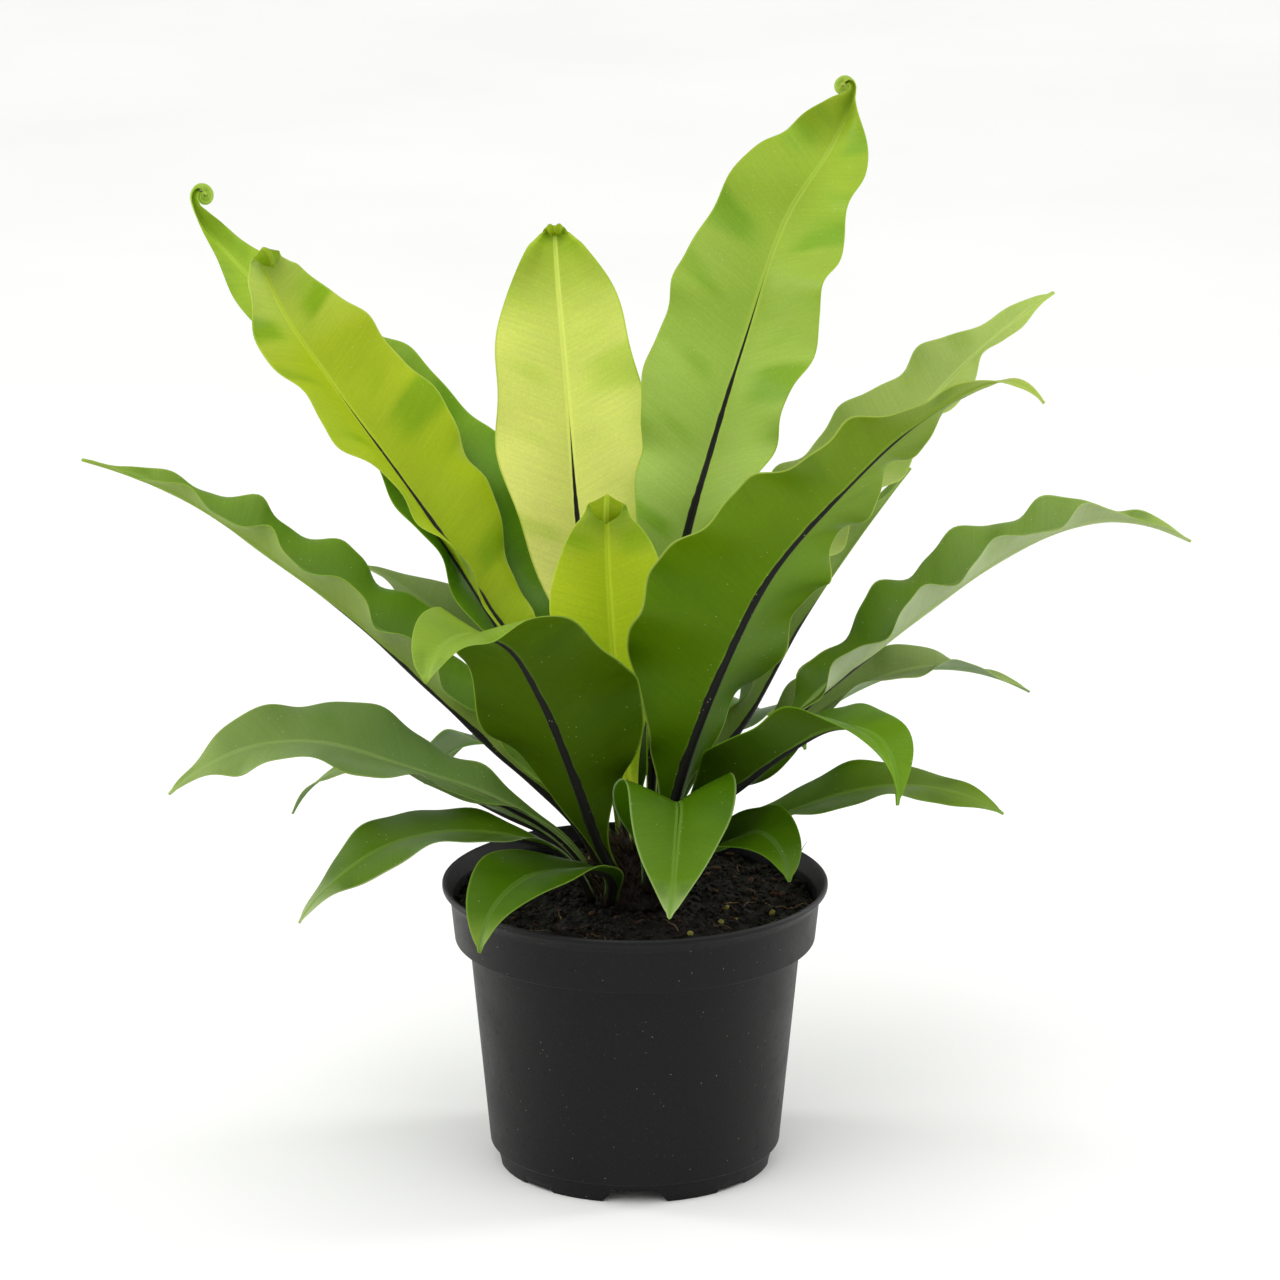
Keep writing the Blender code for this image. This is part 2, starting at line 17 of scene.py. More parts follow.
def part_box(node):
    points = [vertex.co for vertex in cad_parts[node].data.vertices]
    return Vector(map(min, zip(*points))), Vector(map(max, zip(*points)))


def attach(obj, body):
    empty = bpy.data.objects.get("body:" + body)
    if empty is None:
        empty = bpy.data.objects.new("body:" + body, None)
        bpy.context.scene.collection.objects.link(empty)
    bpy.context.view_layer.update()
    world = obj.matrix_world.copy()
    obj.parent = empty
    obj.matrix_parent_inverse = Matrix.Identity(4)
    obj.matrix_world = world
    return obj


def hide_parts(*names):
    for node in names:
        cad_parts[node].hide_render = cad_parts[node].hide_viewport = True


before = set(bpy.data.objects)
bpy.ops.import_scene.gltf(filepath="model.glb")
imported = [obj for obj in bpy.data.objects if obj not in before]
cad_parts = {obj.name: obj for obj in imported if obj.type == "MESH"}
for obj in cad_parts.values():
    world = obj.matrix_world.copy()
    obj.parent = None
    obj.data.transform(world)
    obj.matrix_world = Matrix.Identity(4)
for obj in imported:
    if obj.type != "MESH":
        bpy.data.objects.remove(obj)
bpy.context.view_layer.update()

BODY = "root"

# From the frame
pot_low, pot_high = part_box("nursery_pot")
RIM_RADIUS = (pot_high[0] - pot_low[0]) / 2
POT_HEIGHT = pot_high[2]
SOIL_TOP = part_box("potting_soil")[1][2]

# Crown and stalks, as in the CAD model
CLEARANCE = 0.0003
CROWN_RADIUS = 0.019
CROWN_TOP_RADIUS = 0.005
CROWN_HEIGHT = 0.027
SEAT_GAP = 0.0012
RIB_THICKNESS = 0.0024
TIP_HALF_WIDTH = 0.0008
STALK_HALF_WIDTH = 0.0034

# Leaf blades
ROW_PITCH = 0.0021
CURL_ROWS = 48
LEAF_THICKNESS = 0.0005
EDGE_WIDTH = 0.0012
FOLD_START = 0.90
RIB_DEPTH = 0.0017
RIB_SWELL = 0.0006
GROOVE_DEPTH = 0.0007
GROOVE_SHARE = 0.28
RIB_HALF_BASE = 0.0023
RIB_HALF_TIP = 0.0009
RIB_STEPS = (0.0, 0.3, 0.6, 0.85, 1.0)
BLADE_STEPS = (0.05, 0.13, 0.23, 0.34, 0.45, 0.56, 0.67, 0.77, 0.86, 0.93, 0.975, 1.0)

# As in the CAD model. Seats are azimuth and share of the crown's height. Paths are x and y in rim radii
# and height over the rim in metres. Faces, cups and rolls are degrees, even from base to tip.
Frond = namedtuple("Frond", "name seat path width widest taper face cup waves ruffle phase tint roll",
                   defaults=[(0, 0)])

# Pot, as in the CAD model
LIP_THICKNESS = 0.0016
LIP_OVERHANG = 0.0035
LIP_FLARE_HEIGHT = 0.0065
BAND_HEIGHT = 0.026
BAND_TAPER = 0.0020
SHOULDER_WIDTH = 0.0063
BODY_TAPER = 0.0089
FOOT_HEIGHT = 0.009
FOOT_STEP = 0.0025
FOOT_TAPER = 0.0014
FOOT_THICKNESS = 0.0022
WALL = 0.0014
FLOOR_LIFT = 0.0065
NOTCH_COUNT = 4
NOTCH_FOOT_WIDTH = 0.029
NOTCH_TOP_WIDTH = 0.0185
NOTCH_HEIGHT = 0.0058
NICK_WIDTH = 0.018
NICK_HEIGHT = 0.0013
POT_COLUMNS = 300
POT_RING_PITCH = 0.006
CORNER_RADIUS = 0.0007

# Soil, rootstock and what lies on them
SOIL_RINGS = 110
SOIL_COLUMNS = 240
CROWN_COLUMNS = 120
ROOT_RADIUS = 0.012
ROOT_DEPTH = 0.014
CRUMB_COUNT = 2600
CHIP_COUNT = 90
RING_PELLETS = 9
RING_RADIUS = 0.072
THREAD_COUNT = 34
THREAD_STEP = 0.0012
SCALE_COUNT = 420
SEED = 11

# Studio: suns as azimuth, elevation and softness in degrees, then strength
SKY_COLOUR = (1.0, 1.0, 0.985, 1.0)
SKY_STRENGTH = 0.66
KEY_SUN = (-125, 52, 50, 1.1)
FILL_SUN = (-35, 50, 70, 0.45)
STRIP_PLACE = (1.3, 0.35, 0.45)
STRIP_TARGET = (0, 0, 0.15)
STRIP_WIDTH = 0.35
STRIP_HEIGHT = 1.1
STRIP_POWER = 9
CAMERA_PLACE = (0.0022, -2.5, 0.946)
CAMERA_DIP = 15.8
LENS = 167.7
SENSOR_WIDTH = 36

BAND_TOP = RIM_RADIUS - LIP_OVERHANG
BAND_FOOT = BAND_TOP - BAND_TAPER
BODY_TOP = BAND_FOOT - SHOULDER_WIDTH
BODY_FOOT = BODY_TOP - BODY_TAPER
FOOT_TOP = BODY_FOOT - FOOT_STEP
FOOT = FOOT_TOP - FOOT_TAPER
SHOULDER = POT_HEIGHT - BAND_HEIGHT

# Rolled tips: turns, radii and half width in metres, how far the halves fold up in degrees, the height
# of the crimps, and how far the roll turns from the upper side to one edge in degrees
Curl = namedtuple("Curl", "turns first_radius last_radius half_width fold crimp swing")
CURLS = {
    "frond_centre_back": Curl(0.9, 0.0046, 0.0018, 0.0076, 30, 0.0012, 0),
    "frond_young": Curl(0.60, 0.0086, 0.0062, 0.0106, 27, 0.0, 0),
    "frond_tall_left": Curl(0.64, 0.0066, 0.0048, 0.0092, 27, 0.0, 0),
    "frond_tall_right": Curl(2.1, 0.0056, 0.0009, 0.0034, 66, 0.0, -90),
    "frond_tall_left_back": Curl(2.0, 0.0066, 0.0011, 0.0036, 66, 0.0, 90),
}

FRONDS = (
    Frond("frond_centre_back", (100, 0.8), ((-0.22, 0.46, 0.0975), (-0.3, 0.68, 0.1485),
        (-0.35, 0.89, 0.199), (-0.41, 1.1, 0.255), (-0.42, 1.15, 0.2695)), 0.07, 0.68, 0.65, (-88, -88),
        (35, 12), 5, 0.0015, 0.5, "young"),
    Frond("frond_young", (-80, 0.97), ((-0.05, -0.04, 0.056), (-0.11, -0.05, 0.107),
        (-0.14, -0.04, 0.152), (-0.14, -0.05, 0.17)), 0.054, 0.68, 0.8, (-92, -92), (30, 14), 3, 0.001,
        0.0, "young"),
    Frond("frond_tall_right", (52, 0.8), ((0.13, 0.26, 0.077), (0.245, 0.4, 0.1375), (0.4, 0.56, 0.184),
        (0.56, 0.73, 0.226), (0.79, 0.96, 0.2805), (1.03, 1.08, 0.311), (1.14, 1.15, 0.3335)), 0.077,
        0.62, 0.58, (-118, -108), (48, 25, 10), 7, 0.0045, 0.4, "light"),
    Frond("frond_tall_left", (170, 0.8), ((-0.46, 0.23, 0.075), (-0.7, 0.37, 0.1055),
        (-1.05, 0.56, 0.149), (-1.57, 0.81, 0.207), (-1.84, 0.95, 0.2385), (-1.94, 1.0, 0.259)), 0.074,
        0.68, 0.7, (-25, -30, -62), (48, 35, 15), 6, 0.003, 1.0, "light"),
    Frond("frond_tall_left_back", (136, 0.62), ((-0.47, 0.43, 0.076), (-0.71, 0.65, 0.111),
        (-0.97, 0.88, 0.1535), (-1.59, 1.22, 0.2095), (-1.98, 1.39, 0.2405), (-2.16, 1.45, 0.2555),
        (-2.3, 1.48, 0.269), (-2.34, 1.5, 0.278)), 0.068, 0.5, 1.1, (-60, -60), (30, 15), 6, 0.004, 2.0,
        "mid"),
    Frond("frond_right_front", (-45, 0.6), ((0.21, -0.35, 0.0465), (0.35, -0.48, 0.088),
        (0.67, -0.65, 0.1525), (0.96, -0.75, 0.186), (1.33, -0.83, 0.22), (1.58, -0.87, 0.236),
        (1.77, -0.9, 0.244), (1.91, -0.92, 0.243), (2.01, -0.95, 0.235)), 0.096, 0.42, 1.5,
        (114, 120, 130), (35, 20, 0), 7, 0.004, 0.0, "dark"),
    Frond("frond_right_back", (8, 0.62), ((0.36, 0.17, 0.0735), (0.65, 0.45, 0.1165),
        (1.13, 0.73, 0.1615), (1.57, 0.96, 0.1995), (1.9, 1.11, 0.224), (2.2, 1.2, 0.242)), 0.064, 0.55,
        1.1, (-135, -135), (30, 20), 7, 0.004, 1.2, "mid"),
    Frond("frond_right_inner", (34, 0.42), ((0.34, 0.28, 0.036), (0.59, 0.53, 0.0615), (0.87, 0.8, 0.099),
        (1.15, 1.04, 0.1295), (1.46, 1.3, 0.159)), 0.046, 0.55, 1.1, (170, 170), (30, 25), 4, 0.003, 0.3,
        "gray"),
    Frond("frond_right_long", (-5, 0.34), ((0.44, 0.04, 0.045), (0.7, 0.11, 0.063), (1.11, 0.2, 0.091),
        (1.48, 0.3, 0.114), (1.85, 0.37, 0.1355), (2.17, 0.41, 0.149), (2.49, 0.44, 0.154),
        (2.88, 0.45, 0.144)), 0.052, 0.6, 1.4, (188, 188), (12, 32, 35), 7, 0.004, 2.0, "mid"),
    Frond("frond_right_shade", (18, 0.22), ((0.44, 0.2, 0.031), (0.8, 0.39, 0.056), (1.13, 0.57, 0.072),
        (1.45, 0.7, 0.079), (1.77, 0.82, 0.076), (2.09, 0.9, 0.064)), 0.042, 0.55, 1.2, (203, 203),
        (30, 15), 4, 0.003, 0.1, "gray"),
    Frond("frond_right_short", (-30, 0.4), ((0.33, -0.25, 0.034), (0.54, -0.38, 0.0525),
        (0.78, -0.55, 0.0735), (1.03, -0.74, 0.089), (1.23, -0.89, 0.087), (1.31, -1.05, 0.062)), 0.056,
        0.48, 1.1, (118, 112, 130, 150), (30, 25, 20), 3, 0.003, 1.5, "dark"),
    Frond("frond_right_low", (-27, 0.06), ((0.33, -0.13, 0.017), (0.64, -0.11, 0.028), (1.0, -0.09, 0.04),
        (1.31, -0.11, 0.046), (1.61, -0.17, 0.0455), (1.89, -0.25, 0.037)), 0.046, 0.55, 1.0, (172, 172),
        (20, 0), 3, 0.002, 0.9, "dark", (0, -5, -8)),
    Frond("frond_front_centre", (-72, 0.34), ((0.12, -0.55, 0.037), (0.22, -0.86, 0.0585),
        (0.21, -1.11, 0.0495), (0.19, -1.38, 0.036), (0.17, -1.6, 0.0275)), 0.054, 0.45, 1.1, (100, 95),
        (35, 12), 2, 0.002, 0.4, "dark"),
    Frond("frond_front_right", (-52, 0.06), ((0.32, -0.45, 0.0225), (0.47, -0.63, 0.033),
        (0.61, -0.82, 0.0445), (0.72, -0.99, 0.042), (0.77, -1.15, 0.031)), 0.044, 0.5, 1.0, (140, 140),
        (20, 5), 2, 0.0015, 0.6, "dark", (-15, -15)),
    Frond("frond_front_left", (-125, 0.12), ((-0.15, -0.47, 0.016), (-0.35, -0.7, 0.0235),
        (-0.55, -0.94, 0.0265), (-0.71, -1.2, 0.02), (-0.77, -1.4, 0.0065)), 0.05, 0.5, 1.1, (55, 55),
        (15, 8), 2, 0.0015, 0.2, "dark"),
    Frond("frond_left_low", (-154, 0.1), ((-0.38, -0.21, 0.018), (-0.69, -0.37, 0.0305),
        (-0.99, -0.51, 0.0355), (-1.29, -0.62, 0.031), (-1.55, -0.71, 0.017), (-1.7, -0.8, 0.0025)),
        0.052, 0.6, 1.2, (20, 20), (22, -4), 3, 0.002, 0.7, "dark", (0, 3)),
    Frond("frond_left_arching", (-174, 0.3), ((-0.39, -0.08, 0.022), (-0.8, -0.14, 0.0435),
        (-1.21, -0.19, 0.0575), (-1.62, -0.23, 0.069), (-2.02, -0.28, 0.0665), (-2.38, -0.35, 0.0485)),
        0.062, 0.6, 1.15, (8, 8), (24, 6), 4, 0.003, 0.3, "dark", (10, 14)),
    Frond("frond_left_shade", (160, 0.1), ((-0.39, 0.19, 0.012), (-0.7, 0.3, 0.023), (-1.01, 0.4, 0.0335),
        (-1.33, 0.48, 0.04), (-1.62, 0.54, 0.0345), (-1.81, 0.6, 0.0145)), 0.034, 0.5, 1.2, (-12, -12),
        (25, 5), 3, 0.002, 0.3, "gray"),
    Frond("frond_left_long", (179, 0.54), ((-0.31, -0.03, 0.027), (-0.7, 0.04, 0.057),
        (-1.08, 0.14, 0.086), (-1.48, 0.25, 0.1155), (-1.9, 0.35, 0.1405), (-2.27, 0.42, 0.1615),
        (-2.6, 0.47, 0.1735), (-2.86, 0.5, 0.18)), 0.056, 0.46, 1.3, (-10, -10), (42, 38, 30), 7, 0.004,
        0.2, "mid"),
    Frond("frond_left_front", (-125, 0.55), ((-0.18, -0.3, 0.022), (-0.33, -0.53, 0.065),
        (-0.48, -0.76, 0.103), (-0.63, -0.96, 0.1295), (-0.82, -1.18, 0.1405), (-0.96, -1.36, 0.1385),
        (-1.02, -1.5, 0.127)), 0.082, 0.45, 0.85, (85, 65), (25, 15), 4, 0.003, 0.1, "dark"),
    Frond("frond_left_inner", (156, 0.4), ((-0.42, 0.34, 0.0425), (-0.82, 0.83, 0.082),
        (-1.15, 1.11, 0.1025), (-1.45, 1.3, 0.1135)), 0.05, 0.6, 1.1, (-40, -40), (30, 20), 3, 0.002, 0.3,
        "gray"),
    Frond("frond_back_high_left", (106, 0.46), ((-0.12, 0.46, 0.055), (-0.23, 0.95, 0.112),
        (-0.33, 1.38, 0.154), (-0.38, 1.64, 0.166)), 0.05, 0.6, 1.0, (-80, -80), (30, 15), 5, 0.003, 0.6,
        "mid"),
    Frond("frond_back_high_right", (70, 0.5), ((0.2, 0.42, 0.056), (0.42, 0.9, 0.108), (0.6, 1.34, 0.142),
        (0.68, 1.64, 0.146)), 0.05, 0.6, 1.0, (-115, -115), (30, 15), 5, 0.003, 0.2, "mid"),
    Frond("frond_back_low", (94, 0.2), ((-0.04, 0.5, 0.036), (-0.03, 0.95, 0.064), (0.0, 1.36, 0.062),
        (0.02, 1.64, 0.034)), 0.052, 0.55, 1.0, (-90, -90), (30, 12), 3, 0.002, 0.9, "dark"),
    Frond("frond_back_low_left", (128, 0.12), ((-0.3, 0.42, 0.026), (-0.65, 0.82, 0.04),
        (-0.96, 1.2, 0.03), (-1.14, 1.46, 0.006)), 0.046, 0.55, 1.0, (-50, -50), (30, 12), 3, 0.002, 0.2,
        "dark"),
    Frond("frond_back_low_right", (62, 0.12), ((0.22, 0.46, 0.028), (0.48, 0.9, 0.05),
        (0.74, 1.26, 0.044), (0.92, 1.48, 0.022)), 0.046, 0.55, 1.0, (-125, -125), (30, 12), 3, 0.002,
        0.5, "dark"),
)



def crown_radius(share):
    """The crown's radius at a share of its height."""
    return CROWN_TOP_RADIUS + (CROWN_RADIUS - CROWN_TOP_RADIUS) * (1 - share)


def eased(share):
    return share * share * (3 - 2 * share)


def seat_point(frond):
    """Where the frond's midline starts, just off the crown."""
    azimuth = math.radians(frond.seat[0])
    folded = STALK_HALF_WIDTH * math.sin(math.radians(frond.cup[0]))
    reach = crown_radius(frond.seat[1]) + SEAT_GAP + RIB_THICKNESS / 2 + folded
    return np.array((reach * math.cos(azimuth), reach * math.sin(azimuth),
                     SOIL_TOP + frond.seat[1] * CROWN_HEIGHT))


def smooth_line(points):
    """A smooth curve through the points, as many close places."""
    points = np.array(points)
    gaps = np.sqrt(np.linalg.norm(np.diff(points, axis=0), axis=1))
    knots = np.concatenate(([0.0], np.cumsum(gaps)))
    slopes = np.gradient(points, knots, axis=0, edge_order=2 if len(points) > 2 else 1)
    dense = np.linspace(0.0, knots[-1], 40 * len(points))
    index = np.clip(np.searchsorted(knots, dense, side="right") - 1, 0, len(gaps) - 1)
    span = gaps[index][:, None]
    u = ((dense - knots[index]) / gaps[index])[:, None]
    return ((2 * u**3 - 3 * u**2 + 1) * points[index] + (u**3 - 2 * u**2 + u) * span * slopes[index]
            + (3 * u**2 - 2 * u**3) * points[index + 1] + (u**3 - u**2) * span * slopes[index + 1])


def lengths_along(line):
    return np.concatenate(([0.0], np.cumsum(np.linalg.norm(np.diff(line, axis=0), axis=1))))


def evenly_spaced(line, count):
    along = lengths_along(line)
    wanted = np.linspace(0.0, along[-1], count)
    return np.stack([np.interp(wanted, along, line[:, axis]) for axis in range(3)], axis=1)


def unit(vectors):
    return vectors / np.linalg.norm(vectors, axis=-1, keepdims=True)


def angles(values, count):
    """The angles, in radians, at each of count places from the base to the tip."""
    return np.radians(np.interp(np.linspace(0, 1, count), np.linspace(0, 1, len(values)), values))


def smoothed(values, reach):
    """A running mean over reach places each side, with the ends held."""
    held = np.repeat(values[:1], reach, axis=0), np.repeat(values[-1:], reach, axis=0)
    padded = np.concatenate((held[0], values, held[1]))
    sums = np.cumsum(np.concatenate((np.zeros_like(padded[:1]), padded)), axis=0)
    width = 2 * reach + 1
    return (sums[width:] - sums[:-width]) / width


def blade_frame(line, frond):
    """Along, across and upper-side directions at each place on the path."""
    along = unit(smoothed(np.gradient(line, axis=0), 2))
    face = angles(frond.face, len(line))
    level = np.stack([-np.sin(face), np.cos(face), np.zeros_like(face)], axis=1)
    across = unit(level - along * np.sum(level * along, axis=1, keepdims=True))
    upper = np.cross(across, along)
    roll = angles(frond.roll, len(line))[:, None]
    return along, across * np.cos(roll) + upper * np.sin(roll), upper * np.cos(roll) - across * np.sin(roll)


def half_width(share, frond):
    """Half the blade's width: a narrow stalk, the widest place, then a taper to the tip."""
    rise = np.clip(share / frond.widest, 0, 1)
    swell = eased(rise) ** 1.7
    fall = np.clip((share - frond.widest) / (1 - frond.widest), 0, 1)
    taper = (1 - fall**1.8) ** frond.taper
    widest = frond.width / 2
    base = STALK_HALF_WIDTH + (widest - STALK_HALF_WIDTH) * swell
    tip = CURLS[frond.name].half_width if frond.name in CURLS else TIP_HALF_WIDTH
    return np.where(share < frond.widest, base, tip + (widest - tip) * taper)


def curled_tip(line, frame_at_tip, frond):
    """A tightening spiral, towards the upper side, added at the end of the path."""
    curl = CURLS[frond.name]
    along, across, upper = frame_at_tip
    swing = math.radians(curl.swing)
    inward = upper * math.cos(swing) + across * math.sin(swing)
    flat = across * math.cos(swing) - upper * math.sin(swing)
    step = curl.turns * 2 * math.pi / CURL_ROWS
    place = line[-1]
    rows = []
    for number in range(CURL_ROWS):
        done = (number + 1) / CURL_ROWS
        here = curl.last_radius + (curl.first_radius - curl.last_radius) * (1 - done) ** 1.6
        middle = step * (number + 0.5)
        end = step * (number + 1)
        place = place + here * step * (along * math.cos(middle) + inward * math.sin(middle))
        twist = min(3 * done, 1.0)
        heading = along * math.cos(end) + inward * math.sin(end)
        side = across * (1 - twist) + flat * twist
        side = unit(side - heading * np.dot(side, heading))
        round_end = math.sqrt(max(0.02, 1 - max(0.0, (done - 0.8) / 0.2) ** 2))
        rows.append((place, side, np.cross(side, heading), (1 - 0.45 * done) * round_end))
    return rows


def blade_grid(frond):
    """Row by row: centre, across, upper, half width, cup, share of the length, and how far it is curled."""
    path = [seat_point(frond)]
    path += [np.array((x * RIM_RADIUS, y * RIM_RADIUS, POT_HEIGHT + rise)) for x, y, rise in frond.path]
    dense = smooth_line(path)
    rows = max(40, int(round(lengths_along(dense)[-1] / ROW_PITCH)))
    ends = dense[[0, -1]]
    line = smoothed(evenly_spaced(dense, rows + 1), 3)
    line[0], line[-1] = ends
    along, across, upper = blade_frame(line, frond)
    share = np.linspace(0.0, 1.0, rows + 1)
    width = half_width(share, frond)
    cup = angles(frond.cup, rows + 1)
    curling = np.zeros(rows + 1)
    curl = CURLS.get(frond.name)
    if curl:
        curling = eased(np.clip((share - FOLD_START) / (1 - FOLD_START), 0, 1))
        cup = cup * (1 - curling) + math.radians(curl.fold) * curling
        rolled = curled_tip(line, (along[-1], across[-1], upper[-1]), frond)
        line = np.concatenate((line, [row[0] for row in rolled]))
        across = np.concatenate((across, [row[1] for row in rolled]))
        upper = np.concatenate((upper, [row[2] for row in rolled]))
        width = np.concatenate((width, [curl.half_width * row[3] for row in rolled]))
        cup = np.concatenate((cup, np.full(CURL_ROWS, math.radians(curl.fold))))
        share = np.concatenate((share, np.ones(CURL_ROWS)))
        curling = np.concatenate((curling, np.ones(CURL_ROWS)))
    return line, across, upper, width, cup, share, curling


def columns(width, rib):
    """Distances from the midline for one side's columns, for each row: the rib's, then the blade's."""
    near = [rib * step for step in RIB_STEPS]
    far = [rib + (width - rib) * step for step in BLADE_STEPS]
    return np.stack(near + far, axis=1)


def blade_surface(frond):
    """Upper and under points of the blade, and what the materials need to know at each point.

    Two waves of different length ruffle each half, more towards the margin and less at the stalk and tip.
    """
    line, across, upper, width, cup, share, curling = blade_grid(frond)
    rib = RIB_HALF_BASE + (RIB_HALF_TIP - RIB_HALF_BASE) * share
    rib = np.minimum(rib, 0.6 * width)
    one_side = columns(width, rib)
    out = np.concatenate((-one_side[:, :0:-1], one_side), axis=1)
    side = np.sign(out)
    spread = np.abs(out) / width[:, None]
    phase = 2 * math.pi * frond.waves * share[:, None] + frond.phase + np.where(side < 0, 1.9, 0.0)
    lag = 1.2 * (1 - spread)
    uneven = 0.75 + 0.5 * np.sin(0.37 * phase + 1.3 * side + frond.phase) ** 2
    swell = np.minimum(share / 0.25, 1.0) * np.minimum(4 * width / frond.width, 1.0)
    swell = swell * np.minimum((1 - share) / 0.02, 1.0)
    size = frond.ruffle * swell[:, None] * uneven
    wave = size * (spread**2.3 * np.sin(phase + lag) + 0.22 * spread**3 * np.sin(2.3 * phase + 0.8))
    quilt = 0.3 * size * 4 * spread * (1 - spread) * np.sin(phase + lag - 1.3)
    fold = np.sin(cup)[:, None] * width[:, None] * (1.25 * spread - 0.25 * spread**3)
    crimp = CURLS[frond.name].crimp if frond.name in CURLS else 0.0
    crimp = curling[:, None] * crimp * np.cos(2.4 * math.pi * spread)
    inward = 1 - 0.04 * swell[:, None] * np.sin(phase + 1.0) * spread**2
    lift = fold + wave + quilt + crimp
    centre = line[:, None, :] + across[:, None, :] * (out * inward * np.cos(cup)[:, None])[..., None]
    top = centre + upper[:, None, :] * lift[..., None]
    normal = unit(np.cross(np.gradient(top, axis=1), np.gradient(top, axis=0)))
    normal = normal * np.sign(np.sum(normal * upper[:, None, :], axis=2).mean())
    rib_place = np.clip(np.abs(out) / rib[:, None], 0, 1)
    ridge = (1 - rib_place**2) ** 1.5
    fade = (1 - 0.75 * share)[:, None]
    dip = np.exp(-(np.abs(out) / (GROOVE_SHARE * rib[:, None]))**2)
    groove = RIB_SWELL * ridge * fade - GROOVE_DEPTH * dip * fade
    edge = np.clip((width[:, None] - np.abs(out)) / EDGE_WIDTH, 0, 1)
    thick = LEAF_THICKNESS * (0.55 + 0.45 * np.sqrt(edge))
    thick = thick + RIB_DEPTH * ridge * fade * (1 - 0.7 * curling[:, None])
    raised = top + normal * groove[..., None]
    under = top - normal * thick[..., None]
    metres = lengths_along(line)
    data = {
        "along": np.broadcast_to(share[:, None], out.shape),
        "metres": np.broadcast_to(metres[:, None], out.shape),
        "out": out,
        "spread": spread,
        "rib": np.abs(out) / rib[:, None],
        "margin": width[:, None] - np.abs(out),
    }
    return raised, under, data


def new_mesh(name, points, faces, *looks):
    mesh = bpy.data.meshes.new(name)
    mesh.from_pydata(points, [], faces)
    for look in looks:
        mesh.materials.append(look)
    return mesh


def put_in_scene(name, data):
    thing = bpy.data.objects.new(name, data)
    bpy.context.scene.collection.objects.link(thing)
    return thing


def link_piece(name, mesh, node):
    """The mesh as a piece that rides the body, and replaces the CAD node if one is named."""
    mesh.shade_smooth()
    piece = put_in_scene(name, mesh)
    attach(piece, BODY)
    if node:
        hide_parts(node)


def bands_of_quads(grid, beside):
    """Quads between each row of the grid and the next, in flat rows of four."""
    return np.stack((grid[:-1], beside[:-1], beside[1:], grid[1:]), axis=2).reshape(-1, 4).tolist()


def make_frond(frond, looks):
    top, under, data = blade_surface(frond)
    rows, cols = top.shape[:2]
    points = np.concatenate((top.reshape(-1, 3), under.reshape(-1, 3)))
    below = rows * cols
    grid = np.arange(below).reshape(rows, cols)
    corners = (grid[:-1, :-1], grid[:-1, 1:], grid[1:, 1:], grid[1:, :-1])
    quads = np.stack(corners, axis=2).reshape(-1, 4)
    border = np.concatenate((grid[0, :], grid[1:, -1], grid[-1, -2::-1], grid[-2:0:-1, 0]))
    following = np.roll(border, -1)
    walls = np.stack((border, border + below, following + below, following), axis=1)
    faces = np.concatenate((quads[:, ::-1], quads + below, walls[:, ::-1]))
    mesh = new_mesh(frond.name + "_blade", points.tolist(), faces.tolist(), *looks)
    under_faces = np.zeros(len(faces), np.int32)
    under_faces[len(quads):2 * len(quads)] = 1
    mesh.polygons.foreach_set("material_index", under_faces)
    for name, values in data.items():
        layer = mesh.attributes.new(name, "FLOAT", "POINT")
        layer.data.foreach_set("value", np.tile(np.asarray(values, np.float32).ravel(), 2))
    check = bmesh.new()
    check.from_mesh(mesh)
    if check.calc_volume(signed=True) < 0:
        bmesh.ops.reverse_faces(check, faces=check.faces)
    check.to_mesh(mesh)
    check.free()
    link_piece(frond.name + "_blade", mesh, frond.name)


def rgb(red, green, blue):
    """A linear colour from 0-255 display values."""
    parts = [value / 255 for value in (red, green, blue)]
    linear = [v / 12.92 if v <= 0.04045 else ((v + 0.055) / 1.055) ** 2.4 for v in parts]
    return (*linear, 1.0)


